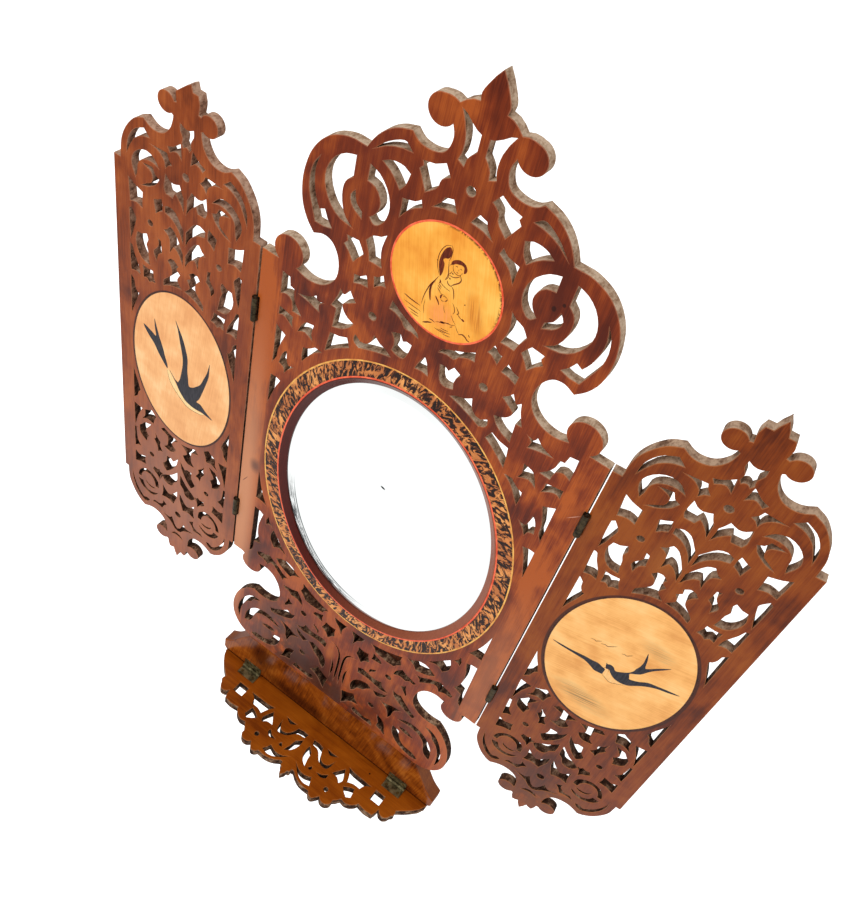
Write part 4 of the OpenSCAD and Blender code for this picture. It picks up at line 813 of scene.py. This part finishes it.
def slip_wood():
    """Two tones of grain, each painted lighter from left to right: painted shade on the left,
    painted light on the right.
    """
    finish = Finish("dark_slip", 0.24)
    pattern = finish.grain((0.0012, 0.0012, 0.012))
    # Painted light and shade: the slip grows lighter from left to right.
    side = finish.fade(finish.axis("X"), *SLIP_SHADE)
    dark = finish.mix(side, (58, 14, 10), (132, 66, 42))
    light = finish.mix(side, (92, 28, 20), (164, 92, 62))
    finish.shade(Base_Color=finish.mix(pattern, dark, light),
                 Normal=finish.bump(pattern, 0.12, SHALLOW))
    return finish


slip = make_piece("mirror_slip_moulding",
                  from_drawing(round_oval(SLIP_PROFILE, SLIP_HALF, MIRROR_Z)),
                  grid_quads(OVAL_STEPS, len(SLIP_PROFILE), True, True),
                  slip_wood().material, "base")
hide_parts("mirror_slip")

# %% [markdown]
# The glass is a silvered plate with a ground bevel. It is a mirror all over: flat in the
# middle, tilted by a few degrees on the bevel, where it throws back the slip instead of
# the room. The crease between the two has to stay crisp.

# %% Mirror glass
GLASS_T = 3.5
GLASS_LAP = 4.2
BEVEL_W = 10.0
BEVEL_D = 1.0
GLASS_BACK = 7.0
CORE = 1.0
BEVEL_RINGS = 5
FLAT_RINGS = 8
CREASE_SHARP = 3.0
FLECK = mark(-5.5, 178.0, 2.4, 1.1, 1.0, (30, 32, 36), turn=0.25, soft=0.4)
LOST_SILVER = mark(-58, MIRROR_Z - 84, 75, 75, 1.0, (46, 52, 54), soft=0.5)
STREAKS_ROUND = 9.0
STREAKS_OUT = 110.0


def told_round_oval(finish, half):
    """Tells each point of the mirror by its angle round the oval and by its distance from
    the middle, where 1 is the oval with these half sizes: the angle and the length of
    (x/a, z/b)."""
    across = finish.sums("DIVIDE", finish.axis("X"), half[0] * MM)
    up = finish.sums("SUBTRACT", finish.axis("Z"), mirror_centre[2])
    up = finish.sums("DIVIDE", up, half[1] * MM)
    return finish.sums("ARCTAN2", up, across), finish.length(finish.joined(across, up))


def silver():
    """The silvering is bright, with one dark fleck, and lost in streaks and a thin line
    along the lower left edge."""
    finish = Finish("silvered_glass", 0.015, 1.0)
    tint = finish.ramp(finish.grain(0.03, 2.0), (0.3, (243, 246, 245)), (0.7, (250, 252, 251)))
    centre, half, turn, soft, strength, colour = FLECK
    tint = finish.stain(tint, finish.spot(centre, half, turn, soft), strength, colour)
    angle, away = told_round_oval(finish, GLASS_HALF)
    place = finish.joined(finish.times(angle, STREAKS_ROUND), finish.times(away, STREAKS_OUT))
    streaks = finish.fade(finish.noise(place, 4.0, 0.6), 0.44, 0.52)
    edge = finish.times(streaks, finish.fade(away, 0.905, 0.95))
    line = finish.times(finish.fade(away, 0.908, 0.914), finish.falls(away, 0.918, 0.924))
    centre, half, turn, soft, strength, colour = LOST_SILVER
    lost = finish.times(finish.spot(centre, half, turn, soft),
                        finish.sums("MAXIMUM", edge, line))
    finish.shade(Base_Color=finish.stain(tint, lost, strength, colour))
    return finish


def glass_plate():
    """Rings of the plate as a profile: back edge, front edge, foot of the bevel, and the
    flat face drawn in to a small middle ring that is then closed."""
    edge = GLASS_T - BEVEL_D * GLASS_LAP / BEVEL_W
    front = GLASS_BACK - edge
    half = (GLASS_HALF[0] + GLASS_LAP, GLASS_HALF[1] + GLASS_LAP)
    slope = np.linspace(0, BEVEL_W, BEVEL_RINGS)
    flat = np.linspace(BEVEL_W, half[0] - CORE, FLAT_RINGS)[1:]
    profile = [(half[0] - CORE, GLASS_BACK), (0, GLASS_BACK)]
    profile += [(d, front - BEVEL_D * d / BEVEL_W) for d in slope]
    profile += [(d, front - BEVEL_D) for d in flat]
    points = round_oval(profile, half, MIRROR_Z)
    rings = len(profile)
    faces = [tuple(f) for f in grid_quads(OVAL_STEPS, rings, True, False)]
    faces.append(tuple(range(rings - 1, OVAL_STEPS * rings, rings)))
    faces.append(tuple(range(0, OVAL_STEPS * rings, rings)))
    return points, faces


glass_points, glass_faces = glass_plate()
glass = make_piece("mirror_plate", from_drawing(glass_points), glass_faces,
                   silver().material, "base", sharp=CREASE_SHARP)
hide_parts("mirror_glass")

# %% [markdown]
# The inlay is flush with the board and polished with it, so its solids stay and only get
# their woods: a coral-red string, a pale yellow string, and between them a band of burl with
# near-black curls on orange-tan.

# %% Inlay
BURL_CELLS = (118.0 / 6.2, 118.0 / 9.5)
BURL_LEAN = 0.7


def dress(node, finish):
    """Gives a CAD node its finish."""
    mesh = nodes[node].data
    mesh.materials.clear()
    mesh.materials.append(finish.material)


def string_wood(name, dark, light, roughness=0.3):
    """A thin string of dyed wood: short joins of slightly different colour."""
    return two_toned(name, (dark, light), 0.006, 3.0, roughness, 0.1, coarse=0.6, light_at=0.6)


def burl():
    """Dark curls on tan. The noise is laid out by the angle round the oval and the distance
    from the middle, and the first slides with the second, so that the curls lean."""
    finish = Finish("burl_veneer", 0.26)
    angle, away = told_round_oval(finish, BURL_OUTER)
    over_band = finish.times(away, BURL_CELLS[1])
    lean = finish.weighed((angle, BURL_CELLS[0]), (over_band, BURL_LEAN))
    curls = finish.noise(finish.joined(lean, over_band), 5.0, 0.66, 1.8)
    clouds = finish.grain((0.016, 0.02, 0.016), 2.0, centre=(0.4, 0, 0.1))
    ground = finish.ramp(clouds, (0.38, (190, 112, 58)), (0.5, (216, 134, 70)),
                         (0.64, (240, 164, 92)))
    marks = finish.ramp(curls, (0.45, (40, 28, 30)), (0.5, (100, 72, 60)),
                        (0.545, (255, 255, 255)))
    finish.shade(Base_Color=finish.mix(1.0, ground, marks, "MULTIPLY"),
                 Normal=finish.bump(curls, 0.12, SHALLOW))
    return finish


red_string = string_wood("red_string", (224, 78, 44), (255, 116, 78))
dress("red_line", red_string)
dress("crest_line", red_string)
dress("yellow_line", string_wood("yellow_string", (214, 140, 62), (250, 190, 98)))
dress("burl_band", burl())
dark_string = string_wood("dark_string", (44, 18, 10), (80, 36, 20), 0.35)
dress("left_wing_line", dark_string)
dress("right_wing_line", dark_string)

# %% [markdown]
# The medallions are thin pale maple under yellowed polish. The wings' are cream, with a
# silky grain; the crest's is a deeper orange with straight dark threads, and old glue shows
# as dark teeth around its edge.

# %% Maple medallions


def maple(name, tones, grain_turn, centre, stains=()):
    """Fine threads across a soft bloom. Stains are (x, z, half width, half height, turn,
    strength, colour) in drawing millimetres from the medallion's centre, and are stronger
    in the lighter threads."""
    dark, middle, light = tones
    finish = Finish(name, 0.3)
    silk = finish.grain((0.0007, 0.01, 0.03), 4.0, 0.6, turn=(0, grain_turn, 0))
    bloom = finish.grain((0.022, 0.03, 0.022), 3.0)
    blend = finish.weighed((silk, 0.34), (bloom, 0.66))
    wood = finish.ramp(blend, (0.36, dark), (0.5, middle), (0.64, light))
    threads = finish.sums("ADD", finish.fade(silk, 0.42, 0.62), 0.35)
    for x, z, wide, high, turn, strength, colour in stains:
        place = (centre[0] + x * MM, 0.0, centre[2] + z * MM)
        spot = finish.spot(place, (wide * MM, high * MM), turn, 0.9)
        wood = finish.stain(wood, finish.times(spot, threads), strength, colour)
    finish.shade(Normal=finish.bump(silk, 0.15, SHALLOW))
    return finish, wood


def old_glue(finish, wood, centre, radius):
    """Dark teeth around the upper right edge, where glue has crept under the polish."""
    rim = finish.spot(centre, (radius, radius), 0.0, 0.05)
    bite = finish.fade(finish.grain(0.0013, 3.0), 0.42, 0.52)
    corner = (centre[0] + 0.8 * radius, 0.0, centre[2] + 0.8 * radius)
    near = finish.spot(corner, (1.25 * radius, 1.25 * radius), 0.0, 0.4)
    share = finish.times(finish.sums("SUBTRACT", 1.0, rim), near)
    return finish.stain(wood, share, bite, (92, 34, 10))


CREAM = ((238, 166, 104), (252, 186, 122), (255, 208, 148))
TAWNY = ((230, 158, 84), (250, 184, 106), (255, 202, 130))
AMBER = ((236, 146, 46), (250, 172, 66), (255, 196, 92))
GREY_STAIN = (158, 122, 76)
PINK_STAIN = (255, 150, 96)
left_middle = on_wing([[WING_MID, 0, WING_MEDALLION[2]]], -1)[0]
right_middle = on_wing([[WING_MID, 0, WING_MEDALLION[2]]], 1)[0]
left_maple, colour = maple("left_maple", CREAM, 0.1, left_middle)
dress("left_wing_medallion", left_maple.shade(Base_Color=colour))
right_maple, colour = maple(
    "right_maple", TAWNY, math.radians(80), right_middle,
    stains=[(-8, -50, 30, 13, 0.2, 0.7, GREY_STAIN), (16, 34, 18, 10, 0.3, 0.4, GREY_STAIN)])
dress("right_wing_medallion", right_maple.shade(Base_Color=colour))
crest_maple, colour = maple(
    "crest_maple", AMBER, math.radians(-12), crest_centre,
    stains=[(22, -8, 7, 20, -0.4, 0.8, (206, 118, 34)), (1, -20, 11, 12, 0.2, 0.7, PINK_STAIN)])
colour = old_glue(crest_maple, colour, crest_centre, (CREST_R - CREST_LINE_W) * MM)
dress("crest_medallion", crest_maple.shade(Base_Color=colour))
print("medallions dressed:", 3)

# %% [markdown]
# Each wing medallion carries a swallow, a common figure on such work. They are drawn here as
# closed outlines that flow through a few points and stand proud of the maple by a breath, as
# dark inlay does that has not shrunk with its ground.

# %% Swallows
PROUD = 0.04
SUNK = 0.3
BELLY_PROUD = 0.02
OUTLINE_STEPS = 3


def flowing(points, steps, closed=True):
    """A smooth line through all the points. Each stretch is a cubic whose slope at a point
    is (next - previous) / 2, so that the stretches join without a corner."""
    p = np.asarray(points, float)
    if closed:
        before, after, later = np.roll(p, 1, 0), np.roll(p, -1, 0), np.roll(p, -2, 0)
    else:
        before = np.vstack([2 * p[0] - p[1], p[:-2]])
        later = np.vstack([p[2:], 2 * p[-1] - p[-2]])
        p, after = p[:-1], p[1:]
    t = (np.arange(steps) / steps)[:, None, None]
    curve = 0.5 * (2 * p + (after - before) * t
                   + (2 * before - 5 * p + 4 * after - later) * t ** 2
                   + (3 * p - before - 3 * after + later) * t ** 3)
    line = curve.transpose(1, 0, 2).reshape(-1, 2)
    return line if closed else np.vstack([line, after[-1]])


def flat_shape(name, outline, carry, material, body, proud=PROUD):
    """Fills a closed outline and gives it a thickness from just proud of the ground to
    inside it."""
    line = flowing(outline, OUTLINE_STEPS)
    count = len(line)
    front = np.stack([line[:, 0], np.full(count, -proud), line[:, 1]], axis=1)
    back = front + (0, proud + SUNK, 0)
    ring = np.arange(count)
    after = np.roll(ring, -1)
    faces = [tuple(ring), tuple(ring[::-1] + count)]
    faces += [tuple(f) for f in np.stack([ring, after, after + count, ring + count], axis=1)]
    return make_piece(name, carry(np.vstack([front, back])), faces, material, body)


def on_left(points):
    """Carries points to the left wing."""
    return on_wing(points, -1)


def on_right(points):
    """Carries points to the right wing."""
    return on_wing(points, 1)


LEFT_TAIL = [(101, 180.5), (96.5, 173.5), (90.5, 168), (86.5, 162), (82, 156.5), (77, 151.5),
             (77, 155.5), (79.5, 162.5), (82, 170.5), (85, 177.5), (87.5, 185), (90, 192.5),
             (89.5, 184), (88.5, 176.5), (92.5, 178)]
LEFT_BODY = [(74.5, 151.5), (66, 144.5), (62, 162.5), (62, 173.5), (64.5, 185), (67, 196.5),
             (69.5, 204.5), (66, 198.5), (62, 191), (59, 182.5), (57, 174.5), (57, 164),
             (56, 155), (55, 148.5), (51.5, 149.5), (48, 153), (44, 158), (41, 166),
             (38, 174.5), (36, 184.5), (36, 177.5), (36.5, 170.5), (39, 160.5), (41.5, 151.5),
             (44.5, 142), (47, 137.5), (43, 137.5), (39, 134.5), (36, 132.5), (30.5, 129.5),
             (36, 129.5), (41.5, 130), (47, 129), (52.5, 129), (58, 130.5), (61.5, 133.5),
             (65, 137.5), (67.5, 142), (71, 146.5)]
LEFT_BELLY = [(77, 150.5), (74.5, 149.5), (71, 145), (67.5, 140.5), (64.5, 136.5),
              (60.5, 132.5), (56.5, 130.5), (51, 129), (44, 129), (38.5, 129.5), (42.5, 127),
              (49.5, 125.5), (56.5, 125.5), (62.5, 129), (66.5, 132), (71, 136), (74.5, 141.5)]
RIGHT_WING = [(18.5, 149), (25, 149), (32, 149), (37.5, 149.5), (42.5, 150), (46.5, 150),
              (51.5, 150.5), (55, 149), (57.5, 148), (57.5, 144), (57.5, 142), (55, 141.5),
              (51.5, 141.5), (47.5, 144), (43, 146), (38, 146.5), (31, 147), (24, 147.5)]
RIGHT_BREAST = [(56.5, 148.5), (57.5, 151), (58.5, 151), (60, 147.5), (63, 144.5), (66, 143),
                (70.5, 144), (74, 143.5), (69.5, 140.5), (64.5, 138), (60.5, 140),
                (57.5, 143.5)]
RIGHT_BODY = [(57.5, 149.5), (56, 155), (57, 154.5), (59, 155.5), (61.5, 154.5), (63.5, 152),
              (66.5, 153.5), (71, 157.5), (73, 161.5), (73.5, 165), (74.5, 168.5),
              (75, 173.5), (74.5, 179), (74, 185), (76, 179), (77, 173.5), (78, 170),
              (80.5, 172), (83.5, 175.5), (87, 179), (91, 182.5), (87.5, 177.5),
              (83.5, 172.5), (80.5, 167.5), (78, 162.5), (75, 159.5), (72, 157), (73, 153.5),
              (74, 151.5), (79.5, 154), (84.5, 158), (90.5, 159.5), (97.5, 161), (105.5, 162),
              (98.5, 159), (91.5, 157), (86, 154), (81, 150), (76.5, 145.5), (73, 143.5),
              (68.5, 143), (64.5, 144.5), (61.5, 147.5), (59.5, 150)]


def feather(name, tones, roughness=0.34):
    """Stained wood for the birds: a short grain under the same polish."""
    return two_toned(name, tones, (0.0008, 0.003, 0.006), 4.0, roughness, 0.15)


blue_black = feather("swallow_back", ((26, 26, 34), (54, 50, 58))).material
tan_breast = feather("right_breast", ((246, 184, 112), (255, 204, 136))).material
cream_belly = feather("left_belly", ((250, 206, 138), (255, 228, 168))).material
flat_shape("left_swallow_tail", LEFT_TAIL, on_left, blue_black, "left_wing")
flat_shape("left_swallow_body", LEFT_BODY, on_left, blue_black, "left_wing")
flat_shape("left_swallow_belly", LEFT_BELLY, on_left, cream_belly, "left_wing",
           proud=BELLY_PROUD)
flat_shape("right_swallow_wing", RIGHT_WING, on_right, blue_black, "right_wing")
flat_shape("right_swallow_body", RIGHT_BODY, on_right, blue_black, "right_wing")
flat_shape("right_swallow_breast", RIGHT_BREAST, on_right, tan_breast, "right_wing",
           proud=BELLY_PROUD)

# %% [markdown]
# The crest shows a traditional dancer with a raised tambourine, drawn in brown pen lines
# on the bare maple. A pen line swells and thins, so each stroke is a narrow strip along a
# smooth line whose width follows half a sine wave from end to end.

# %% Pen strokes
STROKE_STEPS = 5
THIN_END = 0.12
SWELLING = 0.6


def pen_strokes(name, strokes, carry, material, body):
    """Strips with a rectangular section. At each point the strip stands off the line by
    its half width times the line's normal; width follows sin(pi t) to the power SWELLING."""
    all_points, all_faces, start = [], [], 0
    for points, width in strokes:
        line = flowing(points, STROKE_STEPS, closed=False)
        slope = np.gradient(line, axis=0)
        slope /= np.linalg.norm(slope, axis=1)[:, None]
        normal = np.stack([-slope[:, 1], slope[:, 0]], axis=1)
        t = np.linspace(0, 1, len(line))
        swell = 0.5 * width * (THIN_END + np.sin(math.pi * t) ** SWELLING)[:, None]
        left, right = line + normal * swell, line - normal * swell
        ring = [np.stack([s[:, 0], np.full(len(line), d), s[:, 1]], axis=1)
                for s, d in ((left, -PROUD), (right, -PROUD), (right, SUNK), (left, SUNK))]
        points3 = np.stack(ring, axis=1).reshape(-1, 3)
        faces = [tuple(f + start) for f in grid_quads(len(line), 4, False, True)]
        last = start + len(points3)
        faces += [tuple(range(start + 3, start - 1, -1)), tuple(range(last - 4, last))]
        all_points.append(points3)
        all_faces += faces
        start = last
    return make_piece(name, carry(np.vstack(all_points)), all_faces, material, body)


TAMBOURINE = [(-4.2, 364.8), (-5.8, 368), (-7, 373), (-6.5, 378.5), (-4.9, 382.8),
              (-2.6, 384.7), (-1.2, 383.2), (-1, 380.2), (-1.9, 377.8), (-4, 376.7),
              (-4.9, 375.2), (-3.6, 373.4), (-3.3, 370), (-3.5, 367)]
HAIR = [(0.3, 375.2), (0.5, 377.4), (2, 379.2), (4.4, 380.5), (6.8, 380.5), (9, 379.5),
        (10.3, 377.2), (10, 375.2), (8.9, 374.2), (8.5, 376), (8.2, 377.7), (6.6, 378.3),
        (4.6, 377.7), (2.8, 377.1), (1.7, 375.9)]
DANCER = [
    # tambourine rim and jingles
    ([(-4.4, 364.2), (-7.2, 369.5), (-8.1, 375.5), (-7.2, 380.6), (-5, 384.5), (-2, 386)], 0.4),
    ([(-2, 386), (-0.9, 384), (-0.8, 380), (-1.4, 376.2)], 0.45),
    ([(-8.6, 373.2), (-7.6, 373)], 0.6),
    # raised arm
    ([(-1.4, 376.6), (-0.6, 372.4), (0.2, 368.4), (-0.8, 364)], 0.45),
    ([(0.4, 375.2), (-0.4, 374.4)], 0.35),
    # face, calm, of plain proportions
    ([(1.8, 375.8), (2, 373.6), (3.2, 371.8), (5, 371.2), (6.9, 371.9), (8.2, 374.2)], 0.32),
    ([(3.1, 375.7), (3.9, 376), (4.6, 375.7)], 0.34),
    ([(6, 375.6), (6.7, 375.8), (7.3, 375.4)], 0.34),
    ([(5.3, 375.2), (5.5, 374.1), (5.1, 373.8)], 0.2),
    ([(4.3, 372.8), (5.1, 372.5), (5.9, 372.8)], 0.34),
    # neck, collar and shoulders
    ([(2, 371.8), (1.2, 369.8), (-0.2, 368.4)], 0.3),
    ([(2, 370.6), (3.2, 370.2)], 0.7),
    ([(0, 368.6), (3, 368.4), (5.6, 369.6), (7.4, 371.6)], 0.45),
    ([(7, 372.4), (8.4, 369.6), (7.7, 367.2), (5.2, 364.6), (3.4, 362.4)], 0.6),
    ([(-0.8, 364), (0.6, 366.6), (0.4, 368.4)], 0.35),
    ([(1.3, 366.9), (2.2, 366.2)], 0.8),
    ([(0.7, 364.6), (1.2, 363.2), (2.6, 362.4), (4, 362.5)], 0.6),
    # bodice
    ([(4, 362.6), (5.6, 361), (6.7, 358), (7.3, 355.4)], 0.55),
    ([(-3.8, 362.6), (-3.2, 361.4), (-3.6, 360)], 0.8),
    ([(-3.4, 361.4), (-1.6, 360.2), (1, 359.4), (4, 359)], 0.35),
    ([(-4, 359.8), (-2.8, 359.1), (-1.6, 358.2)], 0.4),
    ([(-4, 358.4), (-3, 357.8), (-1.8, 356.8)], 0.45),
    ([(-3.8, 356.8), (-2.8, 355.9), (-1.6, 355.2)], 0.45),
    ([(-2.6, 355), (-0.4, 354.4), (2, 354.6)], 0.3),
    # bow at the waist
    ([(-0.1, 354.2), (-0.6, 352.8), (-0.5, 351.2)], 1.0),
    ([(3.9, 353.4), (3.4, 352), (2.4, 351)], 0.5),
    ([(0.6, 353.4), (2, 354), (3.8, 353.6)], 0.35),
    ([(-0.4, 350.9), (0.8, 350.4), (2.2, 350.8)], 0.3),
    ([(-3.8, 351.2), (-2.9, 350), (-1.4, 348.4), (-0.4, 346.6)], 0.85),
    # falling shawl
    ([(-5, 364), (-6.2, 361), (-8.4, 356.4), (-9.8, 351.6), (-10.8, 346), (-11, 340.6)], 0.55),
    ([(-6.2, 360.4), (-7.8, 356.4), (-7.9, 352.4), (-7, 348.6), (-6.2, 346)], 1.1),
    # hand and sleeve at the right
    ([(7.2, 353), (9, 350.8), (9.8, 348.2), (9.2, 346.2)], 0.4),
    ([(10, 352), (11.6, 350.2), (12.4, 348.8), (11.4, 347.4)], 0.5),
    ([(11.4, 348.6), (13.4, 347), (15.2, 346.2)], 0.4),
    ([(15, 346.6), (16, 346.2), (17, 345.9)], 1.2),
    ([(14.2, 356.4), (14.9, 356.2)], 0.9),
    # folds and hem of the skirt
    ([(-9.4, 345), (-9.2, 340), (-8, 335.4)], 0.25),
    ([(2.6, 348.6), (3.4, 345.6), (4.6, 343.8)], 0.25),
    ([(8.4, 345), (10.4, 342.4), (12.6, 340.6)], 0.3),
    ([(-4, 334.4), (-2, 334.5), (0, 334)], 0.55),
    ([(0.2, 334.6), (2, 335.8), (4, 336.6), (7, 338.2), (10, 338.8), (12.6, 340.2)], 0.45),
    ([(3, 336.8), (4.4, 337), (6.2, 337.6)], 1.2),
    ([(9.6, 336.8), (11.2, 338.4)], 0.4),
    ([(7.8, 338.2), (8.4, 339)], 0.5),
    # feet
    ([(-7.4, 329.6), (-6, 330.4), (-4.2, 331.6), (-1.8, 332.8)], 0.9),
    ([(12.6, 340.2), (14.4, 337.6), (16.2, 335.8)], 0.3),
    ([(16, 335.6), (17.8, 337), (19.8, 336.9), (22, 335.4), (23.6, 335.3)], 0.75),
    ([(21.6, 339.4), (23, 338.3)], 0.5),
    # ground
    ([(-23, 340.6), (-18, 339.6), (-11.4, 339)], 0.7),
    ([(-22, 336.6), (-16, 335.9), (-10, 335.4)], 0.4),
    ([(-19, 333.4), (-14, 333), (-11, 333)], 0.5),
    ([(-16.5, 331.6), (-13, 331.2), (-10.6, 331.2)], 0.4),
    ([(2.6, 331.2), (7, 331.7), (11.2, 332.5)], 0.45),
    ([(0.4, 330.6), (4, 330.5), (8, 331)], 0.4),
    ([(4, 332.8), (7, 333), (9.6, 333.6)], 0.4),
    ([(6, 329.8), (9, 330.1), (11.6, 330.7)], 0.35),
]
BREAST_LINE = [
    ([(57.3, 141.8), (60.5, 139.8), (64.5, 137.9), (69.5, 140.3), (74, 143.4)], 0.4),
    ([(56.4, 148.6), (57.4, 151), (58.4, 151.2), (60.2, 147.6)], 0.35),
]
BELLY_LINE = [
    ([(38.5, 129.4), (42.5, 126.9), (49.5, 125.3), (56.5, 125.3), (62.6, 128.8), (66.6, 131.8),
      (71.1, 135.9), (74.7, 141.4), (77.2, 150.4)], 0.35),
]
BIRDS = [
    ([(39, 170), (41.4, 170.8), (42.6, 170.2), (44, 171.4), (46, 173)], 0.45),
    ([(46, 170.4), (49, 171.6), (50.6, 171.2), (53, 173), (56, 176)], 0.5),
    ([(60.5, 171.4), (62.6, 172.4), (63.8, 172), (65.4, 173.6), (67, 175.6)], 0.5),
]
sepia = feather("pen_line", ((78, 22, 8), (124, 48, 18)), 0.4).material
pen_strokes("crest_dancer", DANCER, from_drawing, sepia, "base")
flat_shape("crest_tambourine", TAMBOURINE, from_drawing, sepia, "base")
flat_shape("crest_hair", HAIR, from_drawing, sepia, "base")
pen_strokes("right_breast_line", BREAST_LINE, on_right, sepia, "right_wing")
pen_strokes("left_belly_line", BELLY_LINE, on_left, sepia, "left_wing")
pen_strokes("right_far_birds", BIRDS, on_right, sepia, "right_wing")

# %% [markdown]
# The brass has gone olive-black in its corners and stays a little bright where cloths and
# fingers rub. Two noises make that: a cloudy one for the tarnish and a fine one for pits.
# The shelf hinges get a lighter brass, a painted highlight over their own tone.

# %% Metal


def old_brass(name, dark, light, roughness=0.45):
    """Tarnish mixes the two tones and dulls the gloss; pits and tarnish raise it."""
    finish = Finish(name, roughness, 0.85)
    tarnish = finish.grain(0.004, 5.0, 0.65)
    pits = finish.grain(0.0005, 2.0)
    rough = finish.sums("ADD", roughness - 0.1, finish.times(tarnish, 0.35))
    finish.shade(Base_Color=finish.ramp(tarnish, (0.38, dark), (0.66, light)), Roughness=rough,
                 Normal=finish.bump(finish.sums("ADD", tarnish, pits), 0.3, SHALLOW))
    return finish


wing_brass = old_brass("wing_hinge_brass", (34, 28, 20), (98, 84, 60))
# Lighter brass for the shelf hinges: a painted highlight over their own tone.
highlit_shelf_brass = old_brass("shelf_hinge_brass_highlit", (84, 76, 50), (176, 164, 122), 0.35)
screw_brass = old_brass("screw_brass", (70, 58, 34), (150, 124, 72))
plate_brass = old_brass("plate_brass", (96, 78, 42), (170, 140, 80))
pin_steel = old_brass("pin_steel", (52, 48, 42), (124, 118, 106))
for name in nodes:
    if name.endswith("_leaf"):
        dress(name, highlit_shelf_brass if "shelf" in name else wing_brass)
    elif name.endswith("_pin"):
        dress(name, pin_steel)
    elif name.endswith("screws"):
        dress(name, screw_brass)
dress("hanging_plate", plate_brass)
print("metal finishes:", 5)

# %% [markdown]
# Two boards are never polished: the pale one that holds the glass in from behind, and the
# darker one behind the cuts of the apron. The darker one is dark so that the cuts show shade
# through them: painted shade.

# %% Backing boards


def backing_wood(name, dark, light):
    """Rough planed wood, with its grain along the board's height."""
    return two_toned(name, (dark, light), (0.0016, 0.01, 0.05), 5.0, 0.7, 0.4, depth=DEEP)


dress("mirror_backing", backing_wood("backing_wood", (112, 84, 56), (164, 130, 92)))
# A dark board behind the apron's cuts: painted shade seen through them.
dress("apron_backing", backing_wood("apron_shade_backing_wood", (60, 26, 14), (100, 52, 32)))
print("backing boards dressed:", 2)
